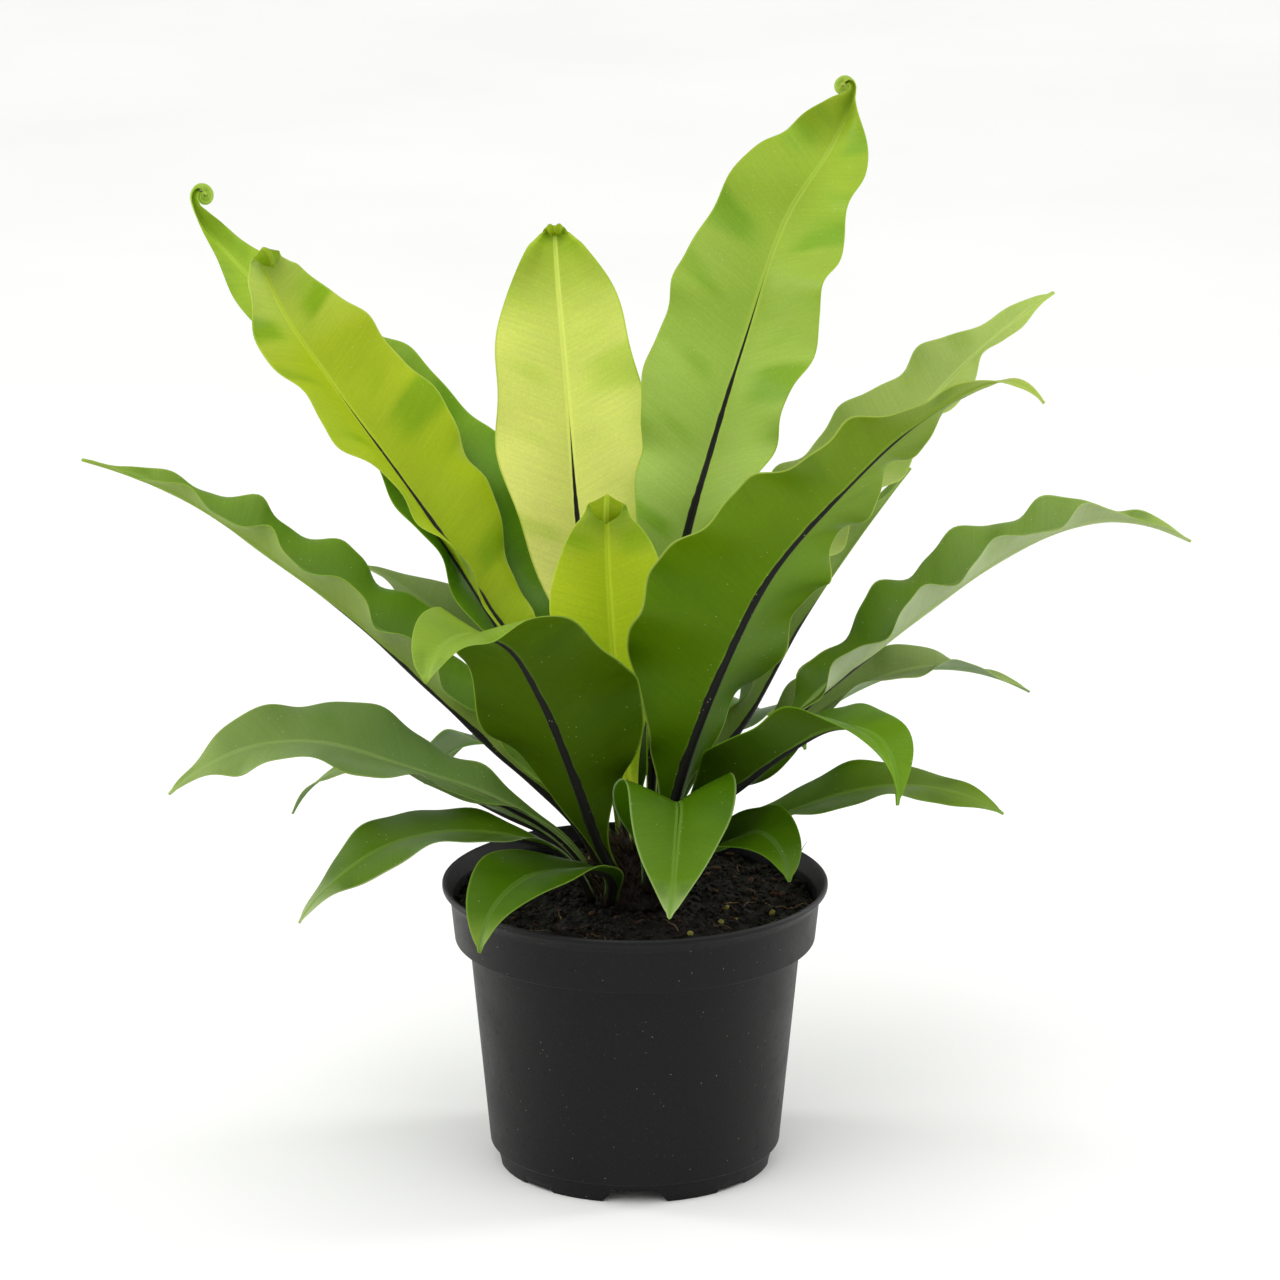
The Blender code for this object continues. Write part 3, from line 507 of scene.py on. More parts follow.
class Look:
    """One material's nodes. A value may be a number or another node's output."""

    def __init__(self, name, roughness=0.5, specular=0.5):
        self.material = bpy.data.materials.new(name)
        self.material.use_nodes = True
        self.tree = self.material.node_tree
        self.shader = self.tree.nodes["Principled BSDF"]
        self.shader.inputs["Roughness"].default_value = roughness
        self.shader.inputs["Specular IOR Level"].default_value = specular

    def put(self, socket, value):
        if isinstance(value, bpy.types.NodeSocket):
            self.tree.links.new(value, socket)
        else:
            socket.default_value = value

    def node(self, kind, **settings):
        made = self.tree.nodes.new(kind)
        for key, value in settings.items():
            setattr(made, key, value)
        return made

    def data(self, name):
        return self.node("ShaderNodeAttribute", attribute_name=name).outputs["Fac"]

    def math(self, operation, *values):
        made = self.node("ShaderNodeMath", operation=operation)
        for socket, value in zip(made.inputs, values):
            self.put(socket, value)
        return made.outputs[0]

    def times(self, first, second):
        return self.math("MULTIPLY", first, second)

    def vector(self, x, y):
        made = self.node("ShaderNodeCombineXYZ")
        for socket, value in zip(made.inputs, (x, y)):
            self.put(socket, value)
        return made.outputs[0]

    def place(self):
        return self.node("ShaderNodeTexCoord").outputs["Object"]

    def noise(self, vector, scale, detail=2.0, roughness=0.5, distortion=0.0):
        made = self.node("ShaderNodeTexNoise")
        self.put(made.inputs["Vector"], vector)
        made.inputs["Scale"].default_value = scale
        made.inputs["Detail"].default_value = detail
        made.inputs["Roughness"].default_value = roughness
        made.inputs["Distortion"].default_value = distortion
        return made.outputs["Fac"]

    def cells(self, vector, scale):
        """The distance to the nearest of many scattered points."""
        made = self.node("ShaderNodeTexVoronoi")
        self.put(made.inputs["Vector"], vector)
        made.inputs["Scale"].default_value = scale
        return made.outputs["Distance"]

    def step(self, value, low, high, start=0.0, end=1.0):
        """start below low, end above high, and smooth between."""
        made = self.node("ShaderNodeMapRange", interpolation_type="SMOOTHSTEP")
        for socket, entry in zip(made.inputs, (value, low, high, start, end)):
            self.put(socket, entry)
        return made.outputs[0]

    def ramp(self, value, stops):
        made = self.node("ShaderNodeValToRGB")
        self.put(made.inputs[0], value)
        points = made.color_ramp.elements
        while len(points) < len(stops):
            points.new(1.0)
        for point, (place, colour) in zip(points, stops):
            point.position = place
            point.color = colour
        return made.outputs["Color"]

    def mix(self, factor, low, high, blend="MIX"):
        made = self.node("ShaderNodeMix", data_type="RGBA", blend_type=blend)
        self.put(made.inputs[0], factor)
        self.put(made.inputs[6], low)
        self.put(made.inputs[7], high)
        return made.outputs[2]

    def shaded(self, colour, amount, low, high):
        """The colour made darker (low) to brighter (high) as amount goes from 0 to 1."""
        grey = self.ramp(amount, ((0.0, (low, low, low, 1)), (1.0, (high, high, high, 1))))
        return self.mix(1.0, colour, grey, "MULTIPLY")

    def finish(self, colour, roughness=None, height=None, distance=0.001, strength=1.0):
        """The material, with its colour, and its roughness and bump where they vary."""
        self.put(self.shader.inputs["Base Color"], colour)
        if roughness is not None:
            self.put(self.shader.inputs["Roughness"], roughness)
        if height is not None:
            bump = self.node("ShaderNodeBump")
            bump.inputs["Strength"].default_value = strength
            bump.inputs["Distance"].default_value = distance
            self.put(bump.inputs["Height"], height)
            self.put(self.shader.inputs["Normal"], bump.outputs[0])
        return self.material


# Leaf patterns: places per metre along the leaf and across it, and how far they slant back from the rib
# The band values make painted shade: darker, greener streaks where the blade's waves turn away from the
# light.
SHADE_BAND_PITCH, SHADE_BAND_SLANT = (42.0, 9.0), 0.45
VEIN_PITCH, VEIN_SLANT = (900.0, 36.0), 0.42
PATCH_PITCH = (18.0, 16.0)
SPECK_SCALE = 900.0
DUST_SCALE = 330.0
DUST_PATCH_SCALE = 120.0
SHADE_BAND_TINT = (0.60, 0.76, 0.25)
SCATTER_RADIUS = (0.6, 1.0, 0.15)
SCATTER_SCALE = 0.0016


def leaf_side(name, colours, rib_colour, dark_until, dark_width, gloss, through, shade_band_strength, sheen):
    """One side of a leaf: green to the tip, slanting bands of painted shade, oblique veins, a midrib with a
    dark core, a pale margin.
    """
    look = Look(name, specular=sheen)
    share, out, rib = look.data("along"), look.data("out"), look.data("rib")
    metres, margin = look.data("metres"), look.data("margin")
    low, mid, high, tip = colours
    out_by = look.math("ABSOLUTE", out)

    def slanted(slant):
        return look.math("SUBTRACT", metres, look.times(out_by, slant))

    def streaks(start, pitch, detail, roughness=0.5):
        stretched = look.vector(look.times(start, pitch[0]), look.times(out, pitch[1]))
        return look.noise(stretched, 1.0, detail, roughness)

    colour = look.ramp(share, ((0.0, low), (0.12, low), (0.5, mid), (0.85, high), (1.0, tip)))
    # Painted shade: slanting bands of a darker, greener colour where the blade's waves fall into shade.
    shade_band_noise = streaks(slanted(SHADE_BAND_SLANT), SHADE_BAND_PITCH, 1.0)
    patches = streaks(metres, PATCH_PITCH, 2.0)
    shade_band_mask = look.times(look.step(shade_band_noise, 0.50, 0.64), look.step(look.data("spread"), 0.1, 0.55))
    shade_band_colour = (*[channel * share_kept for channel, share_kept in zip(mid, SHADE_BAND_TINT)], 1.0)
    colour = look.mix(look.times(shade_band_mask, shade_band_strength), colour, shade_band_colour)
    colour = look.shaded(colour, look.step(patches, 0.3, 0.7), 0.93, 1.05)
    veins = streaks(slanted(VEIN_SLANT), VEIN_PITCH, 2.0, 0.6)
    colour = look.shaded(colour, look.step(veins, 0.25, 0.75), 0.955, 1.035)
    speck = look.noise(look.place(), SPECK_SCALE, 3.0, 0.65)
    colour = look.shaded(colour, look.step(speck, 0.35, 0.75), 0.97, 1.06)
    colour = look.mix(look.step(rib, 0.8, 1.5, 0.62, 0.0), colour, rib_colour)
    reached = look.math("POWER", look.math("DIVIDE", share, dark_until), 3.0)
    core = look.times(look.math("SUBTRACT", 1.0, reached), dark_width)
    uneven = look.noise(look.vector(look.times(metres, 90.0), 0.0), 1.0, 3.0)
    core = look.times(core, look.step(uneven, 0.2, 0.8, 0.8, 1.15))
    dark = look.step(look.math("SUBTRACT", core, rib), -0.12, 0.16)
    colour = look.mix(dark, colour, rgb(33, 33, 30))
    colour = look.mix(look.step(margin, 0.0002, 0.0011, 0.55, 0.0), colour, tip)
    colour = look.mix(look.step(share, 0.012, 0.06, 0.9, 0.0), colour, rgb(40, 32, 20))
    dust = look.cells(look.place(), DUST_SCALE)
    rare = look.noise(look.place(), DUST_PATCH_SCALE, 0.0)
    dusty = look.times(look.step(dust, 0.05, 0.12, 0.5, 0.0), look.step(rare, 0.55, 0.62))
    colour = look.mix(dusty, colour, rgb(196, 204, 150))
    shine = look.step(patches, 0.2, 0.8, gloss - 0.05, gloss + 0.07)
    height = look.math("ADD", look.times(veins, 0.5), look.times(speck, 0.25))
    made = look.finish(colour, shine, height, distance=0.00022, strength=0.5)
    look.shader.inputs["Subsurface Weight"].default_value = through
    look.shader.inputs["Subsurface Radius"].default_value = SCATTER_RADIUS
    look.shader.inputs["Subsurface Scale"].default_value = SCATTER_SCALE
    return made


# Display colours for each frond's upper side and underside: near the stalk, middle, near the tip, tip.
# No underside means a greyer upper side. The last two numbers are the share of the length that the
# midrib's dark core reaches on each side.
LEAF_COLOURS = {
    "frond_centre_back": (((208, 216, 110), (222, 226, 124), (206, 214, 104), (156, 178, 36)),
        ((200, 210, 100), (200, 210, 96), (150, 172, 30), (132, 156, 16)), 0.7, 0.8),
    "frond_young": (((196, 214, 60), (196, 216, 40), (200, 216, 44), (190, 208, 80)), ((190, 206, 60),
        (180, 200, 40), (140, 160, 16), (126, 146, 10)), 0.1, 0.3),
    "frond_tall_right": (((156, 184, 98), (156, 182, 82), (150, 174, 54), (154, 174, 44)), None, 0.74,
        0.8),
    "frond_tall_left": (((150, 178, 18), (160, 182, 18), (166, 182, 32), (172, 188, 84)), ((140, 166, 20),
        (140, 164, 14), (122, 146, 8), (112, 136, 4)), 0.8, 0.9),
    "frond_tall_left_back": (((96, 144, 24), (112, 154, 30), (154, 180, 50), (144, 172, 40)), None, 0.45,
        0.6),
    "frond_right_front": (((90, 124, 10), (112, 140, 20), (130, 156, 40), (170, 186, 90)), ((62, 96, 0),
        (88, 122, 0), (116, 142, 30), (176, 192, 90)), 0.5, 0.88),
    "frond_right_back": (((134, 156, 72), (150, 168, 84), (160, 178, 92), (168, 188, 90)), None, 0.4,
        0.7),
    "frond_right_inner": (((84, 112, 20), (92, 122, 30), (110, 138, 40), (130, 156, 60)), ((80, 106, 24),
        (88, 114, 32), (100, 126, 40), (130, 156, 60)), 0.4, 0.7),
    "frond_right_long": (((70, 102, 8), (82, 114, 16), (130, 156, 72), (156, 176, 90)), ((142, 158, 114),
        (152, 168, 122), (156, 172, 116), (168, 184, 114)), 0.3, 0.5),
    "frond_right_shade": (((110, 132, 66), (122, 142, 76), (128, 148, 78), (140, 160, 80)), None, 0.3,
        0.5),
    "frond_right_short": (((46, 72, 0), (78, 116, 4), (94, 132, 12), (104, 142, 24)), ((38, 60, 0),
        (52, 78, 4), (80, 112, 14), (104, 142, 24)), 0.45, 0.75),
    "frond_right_low": (((62, 90, 2), (72, 104, 4), (96, 124, 20), (110, 140, 40)), None, 0.45, 0.6),
    "frond_front_centre": (((56, 92, 0), (64, 100, 0), (90, 126, 22), (150, 172, 104)), None, 0.78, 0.7),
    "frond_front_right": (((38, 62, 0), (44, 70, 0), (54, 84, 0), (80, 112, 14)), None, 0.3, 0.5),
    "frond_front_left": (((42, 70, 0), (50, 80, 0), (66, 100, 0), (120, 146, 50)), None, 0.62, 0.7),
    "frond_left_low": (((64, 94, 2), (70, 102, 4), (82, 114, 10), (160, 176, 120)), None, 0.55, 0.7),
    "frond_left_arching": (((84, 114, 40), (102, 130, 66), (112, 136, 66), (142, 162, 80)), None, 0.5,
        0.6),
    "frond_left_shade": (((98, 122, 56), (110, 136, 62), (114, 140, 66), (130, 150, 70)), None, 0.5, 0.6),
    "frond_left_long": (((88, 122, 24), (96, 132, 30), (118, 148, 50), (140, 165, 60)), ((110, 132, 48),
        (116, 138, 50), (122, 146, 56), (140, 160, 60)), 0.3, 0.6),
    "frond_left_front": (((76, 106, 10), (96, 130, 20), (118, 148, 34), (138, 164, 58)), ((58, 84, 0),
        (64, 90, 0), (72, 100, 4), (140, 168, 60)), 0.5, 0.92),
    "frond_left_inner": (((102, 122, 62), (112, 130, 72), (118, 136, 72), (130, 150, 80)), None, 0.4,
        0.7),
}
TINT_COLOURS = {
    "mid": ((92, 126, 24), (102, 138, 32), (120, 150, 46), (145, 168, 64)),
    "dark": ((60, 92, 2), (70, 104, 6), (84, 118, 14), (130, 156, 60)),
}
GREY_UNDERSIDE = (0.92, 0.96, 1.6)
THROUGH = {"young": 0.35, "light": 0.3, "mid": 0.2, "dark": 0.12, "gray": 0.15}
GLOSS = {"young": 0.42, "light": 0.42, "mid": 0.40, "dark": 0.36, "gray": 0.50}
SHEEN = {"young": 0.12, "light": 0.14, "mid": 0.16, "dark": 0.14, "gray": 0.2}
# How strongly each tint's leaves get the bands of painted shade.
SHADE_BAND_STRENGTH = {"young": 0.5, "light": 0.9, "mid": 0.35, "dark": 0.35, "gray": 0.35}
CORE = {"young": 1.5, "light": 1.5, "mid": 0.30, "dark": 0.30, "gray": 0.30}
UNDER_CORE = 1.2


def leaf_looks(frond):
    """The upper side's and the underside's materials."""
    tint = frond.tint
    plain = (TINT_COLOURS.get(tint), None, 0.3, 0.6)
    upper, under, dark_upper, dark_under = LEAF_COLOURS.get(frond.name, plain)
    upper = [rgb(*colour) for colour in upper]
    if under:
        under = [rgb(*colour) for colour in under]
    else:
        under = [(*[c * g for c, g in zip(colour, GREY_UNDERSIDE)], 1.0) for colour in upper]
    pale, pale_under = ([min(channel * 1.25 + 0.02, 0.9) for channel in side[2][:3]] + [1.0]
                        for side in (upper, under))
    return (leaf_side(frond.name + "_upper", upper, pale, dark_upper, CORE[tint], GLOSS[tint],
                      THROUGH[tint], SHADE_BAND_STRENGTH[tint], SHEEN[tint]),
            leaf_side(frond.name + "_under", under, pale_under, dark_under, UNDER_CORE, GLOSS[tint] + 0.08,
                      THROUGH[tint], SHADE_BAND_STRENGTH[tint], 0.6 * SHEEN[tint]))


def rounded(profile, radius, steps=4):
    """The closed profile with each corner turned into a short arc."""
    profile = np.array(profile)
    points = []
    for before, corner, after in zip(np.roll(profile, 1, axis=0), profile, np.roll(profile, -1, axis=0)):
        before, after = before - corner, after - corner
        cut = min(radius, 0.45 * np.linalg.norm(before), 0.45 * np.linalg.norm(after))
        start = corner + before / np.linalg.norm(before) * cut
        end = corner + after / np.linalg.norm(after) * cut
        for step in range(steps + 1):
            t = step / steps
            points.append((1 - t)**2 * start + 2 * t * (1 - t) * corner + t**2 * end)
    return np.array(points)


def turned(name, profile, azimuths, look, shape):
    """A closed solid: profile (radius, height) swept through the azimuths, then moved by shape."""
    columns = len(azimuths)
    count = len(profile)
    radius = np.repeat(profile[:, 0][:, None], columns, axis=1)
    height = np.repeat(profile[:, 1][:, None], columns, axis=1)
    angle = np.broadcast_to(azimuths, radius.shape)
    radius, height = shape(radius, height, angle)
    points = np.stack((radius * np.cos(angle), radius * np.sin(angle), height), axis=2).reshape(-1, 3)
    grid = np.arange(count * columns).reshape(count, columns)
    faces = bands_of_quads(grid, np.roll(grid, -1, axis=1)) + [grid[0, ::-1].tolist(), grid[-1].tolist()]
    mesh = new_mesh(name, points.tolist(), faces, look)
    fixed = bmesh.new()
    fixed.from_mesh(mesh)
    bmesh.ops.recalc_face_normals(fixed, faces=fixed.faces)
    fixed.to_mesh(mesh)
    fixed.free()
    return mesh


def pot_profile():
    """From the floor inside, up the inner wall, over the lip and down the outside to the underside."""
    edge = LIP_THICKNESS / 3
    flare_foot = POT_HEIGHT - LIP_FLARE_HEIGHT
    floor_top = FOOT_HEIGHT + WALL
    return (
        (BODY_FOOT - WALL, floor_top),
        (BODY_TOP - WALL, SHOULDER + WALL),
        (BAND_FOOT - WALL, SHOULDER + 2 * WALL),
        (BAND_TOP - WALL, flare_foot),
        (RIM_RADIUS - LIP_THICKNESS, POT_HEIGHT - edge),
        (RIM_RADIUS - LIP_THICKNESS + edge, POT_HEIGHT),
        (RIM_RADIUS - edge, POT_HEIGHT),
        (RIM_RADIUS, POT_HEIGHT - edge),
        (RIM_RADIUS, POT_HEIGHT - 1.5 * LIP_THICKNESS),
        (BAND_TOP, flare_foot),
        (BAND_FOOT, SHOULDER + edge),
        (BAND_FOOT - edge, SHOULDER),
        (BODY_TOP, SHOULDER),
        (BODY_FOOT, FOOT_HEIGHT + edge),
        (BODY_FOOT - edge, FOOT_HEIGHT),
        (FOOT_TOP, FOOT_HEIGHT),
        (FOOT, 0.0),
        (FOOT - FOOT_THICKNESS, 0.0),
        (FOOT_TOP - FOOT_THICKNESS, FLOOR_LIFT),
    )


def refined(profile, pitch):
    """The open profile with long stretches divided."""
    points = [profile[0]]
    for before, after in zip(profile[:-1], profile[1:]):
        parts = max(1, int(np.ceil(np.linalg.norm(after - before) / pitch)))
        points += [before + (after - before) * (step + 1) / parts for step in range(parts)]
    return np.array(points)


def foot_cut_sizes():
    """Azimuth, half width at the foot, half width at the top, and height of each notch and nick."""
    notch = (NOTCH_FOOT_WIDTH / 2, NOTCH_TOP_WIDTH / 2, NOTCH_HEIGHT)
    nick = (NICK_WIDTH / 2, NICK_WIDTH / 2 - NICK_HEIGHT, NICK_HEIGHT)
    for index in range(2 * NOTCH_COUNT):
        yield (index * math.pi / NOTCH_COUNT, *(nick if index % 2 else notch))


def even_azimuths(count):
    return np.arange(count) * 2 * math.pi / count


def notch_azimuths():
    """Even azimuths, with the corners of the foot's notches and nicks put in."""
    spots = list(even_azimuths(POT_COLUMNS))
    for middle, wide, narrow, _ in foot_cut_sizes():
        for half in (wide, narrow):
            turn = math.asin(half / FOOT)
            spots += [middle + turn, middle - turn]
    return np.array(sorted(set(round(spot % (2 * math.pi), 6) for spot in spots)))


def foot_cuts(radius, height, angle):
    """Lifts the foot's edge at the notches and nicks."""
    lift = np.zeros_like(height)
    for middle, wide, narrow, high in foot_cut_sizes():
        off = (angle - middle + math.pi) % (2 * math.pi) - math.pi
        across = np.where(np.abs(off) > 1, 1.0, np.abs(FOOT * np.sin(off)))
        lift = np.maximum(lift, high * np.clip((wide - across) / (wide - narrow), 0, 1))
    outer = radius > FOOT - 1.6 * FOOT_THICKNESS
    low = height < FOOT_HEIGHT - 0.0008
    return radius, np.where(outer & low, np.maximum(height, lift), height)


def make_pot(look):
    profile = refined(rounded(pot_profile(), CORNER_RADIUS), POT_RING_PITCH)
    mesh = turned("pot_shell", profile, notch_azimuths(), look, foot_cuts)
    link_piece("pot_shell", mesh, "nursery_pot")


def pot_look():
    look = Look("pot_moulded", roughness=0.5, specular=0.2)
    place = look.place()
    spots = look.cells(place, 700.0)
    rare = look.noise(place, 260.0, 1.0)
    fleck = look.times(look.step(spots, 0.1, 0.2, 1.0, 0.0), look.step(rare, 0.66, 0.72))
    clouds = look.noise(place, 34.0, 4.0, 0.6)
    colour = look.ramp(clouds, ((0.3, rgb(7, 7, 8)), (0.7, rgb(13, 13, 14))))
    dust = look.noise(place, 1500.0, 2.0)
    colour = look.mix(look.step(dust, 0.62, 0.8, 0.0, 0.35), colour, rgb(70, 70, 68))
    colour = look.mix(fleck, colour, rgb(120, 118, 112))
    split = look.node("ShaderNodeSeparateXYZ")
    look.put(split.inputs[0], place)
    x, y, height = split.outputs
    # Painted highlight: the colour turns grey along the top of the lip, where the light catches the rim.
    lip_painted_highlight = look.step(height, POT_HEIGHT - 0.0012, POT_HEIGHT - 0.0002, 0.0, 0.5)
    colour = look.mix(lip_painted_highlight, colour, rgb(58, 58, 60))
    grain = look.noise(place, 1100.0, 3.0, 0.6)
    around = look.math("ARCTAN2", y, x)
    wear = look.noise(look.vector(look.times(around, 14.0), look.times(height, 260.0)), 1.0, 3.0)
    shine = look.math("ADD", look.step(clouds, 0.3, 0.7, 0.42, 0.52), look.step(wear, 0.55, 0.75, 0.0, 0.08))
    return look.finish(colour, shine, grain, distance=0.00018, strength=0.55)


def soil_height(x, y):
    """How far the soil's lumpy top is above or below its level."""
    place = Vector((x, y, 0.0))
    coarse = noise.noise(place * 55) * 0.0016
    lumps = noise.turbulence(place * 150, 3, False) * 0.0019
    fine = noise.noise(place * 520 + Vector((3, 7, 1))) * 0.0006
    return coarse + lumps + fine - 0.0012


def make_soil(look):
    """The soil inside the pot; gives back the radius of its top."""
    inset = WALL + CLEARANCE
    rise = SOIL_TOP - SHOULDER
    top = BAND_FOOT + (BAND_TOP - BAND_FOOT) * rise / (BAND_HEIGHT - LIP_FLARE_HEIGHT) - inset
    rings = np.linspace(0.0006, top, SOIL_RINGS)
    profile = [(radius, SOIL_TOP) for radius in rings]
    profile += [(BAND_FOOT - inset, SHOULDER + 2 * WALL + CLEARANCE), (BODY_TOP - inset, SHOULDER + WALL),
                (BODY_FOOT - inset, FOOT_HEIGHT + WALL + CLEARANCE)]

    def rough(radius, height, angle):
        raised = height.copy()
        for row in range(len(rings)):
            for column in range(angle.shape[1]):
                a = angle[row, column]
                r = radius[row, column]
                hollow = -0.0015 * max(0.0, (r / top - 0.9) / 0.1)
                raised[row, column] += soil_height(r * math.cos(a), r * math.sin(a)) + hollow
        return radius, raised

    mesh = turned("soil_surface", np.array(profile), even_azimuths(SOIL_COLUMNS), look, rough)
    link_piece("soil_surface", mesh, "potting_soil")
    return top


def soil_look(name, dark, light, scale=420.0):
    """Damp, fibrous matter from dark to light."""
    look = Look(name, roughness=0.85, specular=0.3)
    place = look.place()
    grain = look.noise(place, scale, 4.0, 0.7)
    colour = look.ramp(grain, ((0.25, dark), (0.75, light)))
    shreds = look.noise(place, 1300.0, 2.0, 0.6, 1.5)
    colour = look.mix(look.step(shreds, 0.66, 0.74, 0.0, 0.5), colour, rgb(74, 58, 42))
    damp = look.step(grain, 0.3, 0.7, 0.6, 0.95)
    return look.finish(colour, damp, look.noise(place, 900.0, 5.0, 0.7), distance=0.0006, strength=0.9)


def ball_shape(detail):
    made = bmesh.new()
    bmesh.ops.create_icosphere(made, subdivisions=detail, radius=1.0)
    points = np.array([vert.co[:] for vert in made.verts])
    faces = [[vert.index for vert in face.verts] for face in made.faces]
    made.free()
    return points, faces


def joined(name, parts, look):
    """One piece of many parts, each of them points and faces."""
    points, polygons, start = [], [], 0
    for part_points, part_faces in parts:
        points.append(part_points)
        polygons += [[start + index for index in face] for face in part_faces]
        start += len(part_points)
    link_piece(name, new_mesh(name, np.concatenate(points).tolist(), polygons, look), None)


def scattered(name, lumps, look, detail, rough, rng):
    """One piece of many lumps: each (place, size, stretch) is a ball made uneven."""
    base, faces = ball_shape(detail)
    parts = []
    for place, size, stretch in lumps:
        turn = rng.uniform(0, 2 * math.pi)
        tilt = rng.uniform(-0.5, 0.5)
        bumpy = base * (1 + rng.uniform(-rough, rough, (len(base), 1)))
        bumpy = bumpy * np.array(stretch) * size
        spun = np.stack((bumpy[:, 0] * math.cos(turn) - bumpy[:, 1] * math.sin(turn),
                         bumpy[:, 0] * math.sin(turn) + bumpy[:, 1] * math.cos(turn),
                         bumpy[:, 2] + bumpy[:, 0] * tilt), axis=1)
        parts.append((spun + np.array(place), faces))
    joined(name, parts, look)


def tube(line, radii, sides=6):
    """Points and faces of a closed tube along the line."""
    line = np.array(line)
    along = unit(np.gradient(line, axis=0))
    side = unit(np.cross(along, np.array((0.3, 0.2, 1.0))))
    other = np.cross(along, side)
    around = even_azimuths(sides)[None, :, None]
    ring = side[:, None, :] * np.cos(around) + other[:, None, :] * np.sin(around)
    points = (line[:, None, :] + ring * np.asarray(radii)[:, None, None]).reshape(-1, 3)
    grid = np.arange(len(line) * sides).reshape(len(line), sides)
    faces = bands_of_quads(grid, np.roll(grid, -1, axis=1)) + [grid[0, ::-1].tolist(), grid[-1].tolist()]
    return points, faces


def random_spot(rng, reach, least, most):
    """A place on a disc between two shares of its area: distance from the middle, x and y."""
    radius = reach * math.sqrt(rng.uniform(least, most))
    azimuth = rng.uniform(0, 2 * math.pi)
    return radius, radius * math.cos(azimuth), radius * math.sin(azimuth)


def on_soil(x, y, above):
    return x, y, SOIL_TOP + soil_height(x, y) + above


def thread_line(top, rng):
    """A thin root wandering over the soil, lifted in the middle and turned back at the pot's wall."""
    _, x, y = random_spot(rng, top, 0.25, 0.93)
    heading = rng.uniform(0, 2 * math.pi)
    line, curl = [], rng.uniform(-0.35, 0.35)
    steps = int(rng.uniform(9, 20))
    for step in range(steps):
        heading += curl + rng.uniform(-0.35, 0.35)
        x += THREAD_STEP * math.cos(heading)
        y += THREAD_STEP * math.sin(heading)
        if math.hypot(x, y) > top - 0.0015:
            heading += math.pi / 2
            x, y = x * 0.97, y * 0.97
        line.append(on_soil(x, y, 0.0014 * math.sin(math.pi * (step + 0.5) / steps)))
    return line


def dress_soil(top, rng):
    """Crumbs, slow-release feed pellets, bark bits and thin roots on the soil."""
    crumbs = []
    while len(crumbs) < CRUMB_COUNT:
        radius, x, y = random_spot(rng, top - 0.001, 0.02, 1.0)
        if radius < ROOT_RADIUS:
            continue
        size = 0.0005 + 0.0016 * rng.uniform() ** 3
        crumbs.append((on_soil(x, y, 0.3 * size), size, (1.0, rng.uniform(0.5, 1.0), rng.uniform(0.5, 0.9))))
    dark = soil_look("soil_crumbs_look", rgb(12, 10, 7), rgb(40, 33, 24))
    scattered("soil_crumbs", crumbs, dark, 1, 0.3, rng)
    chips = []
    for _ in range(CHIP_COUNT):
        _, x, y = random_spot(rng, top, 0.1, 0.96)
        size = rng.uniform(0.0012, 0.0026)
        chips.append((on_soil(x, y, 0.4 * size), size, (1.0, rng.uniform(0.3, 0.6), rng.uniform(0.2, 0.4))))
    bark = soil_look("bark_chip_look", rgb(38, 24, 14), rgb(96, 62, 38), 600.0)
    scattered("soil_bark_chips", chips, bark, 2, 0.22, rng)
    spots = [(0.040, -0.012), (0.044, -0.026), (0.0375, -0.031), (0.060, -0.018), (-0.030, -0.056),
             (-0.016, -0.0595), (0.0005, -0.0605), (0.024, -0.050), (-0.052, 0.030), (-0.02, 0.058),
             (0.03, 0.055)]
    spots += [(RING_RADIUS * math.cos(a), RING_RADIUS * math.sin(a))
              for a in rng.uniform(0, 2 * math.pi, RING_PELLETS)]
    pellets = [(on_soil(x, y, 0.0008), rng.uniform(0.0011, 0.0016), (1.0, 0.95, 0.9)) for x, y in spots]
    feed = soil_look("feed_pellet_look", rgb(118, 112, 42), rgb(176, 168, 84), 260.0)
    scattered("soil_feed_pellets", pellets, feed, 3, 0.03, rng)
    threads = []
    for _ in range(THREAD_COUNT):
        line = thread_line(top, rng)
        threads.append(tube(line, np.linspace(1.0, 0.4, len(line)) * rng.uniform(0.00016, 0.0003)))
    stray = [(0.069, 0.020, SOIL_TOP), (0.0705, 0.021, 0.128), (0.073, 0.0215, 0.1335),
             (0.0745, 0.022, 0.1365), (0.0765, 0.0225, 0.1395)]
    side_root = [(0.0735, 0.0215, 0.1335), (0.0722, 0.0222, 0.1355), (0.0720, 0.0228, 0.1372)]
    threads.append(tube(stray, (0.0003, 0.00026, 0.0002, 0.00016, 0.0001)))
    threads.append(tube(side_root, (0.00016, 0.00012, 0.0001)))
    roots = soil_look("root_look", rgb(96, 72, 50), rgb(158, 130, 96), 500.0)
    joined("soil_roots", threads, roots)


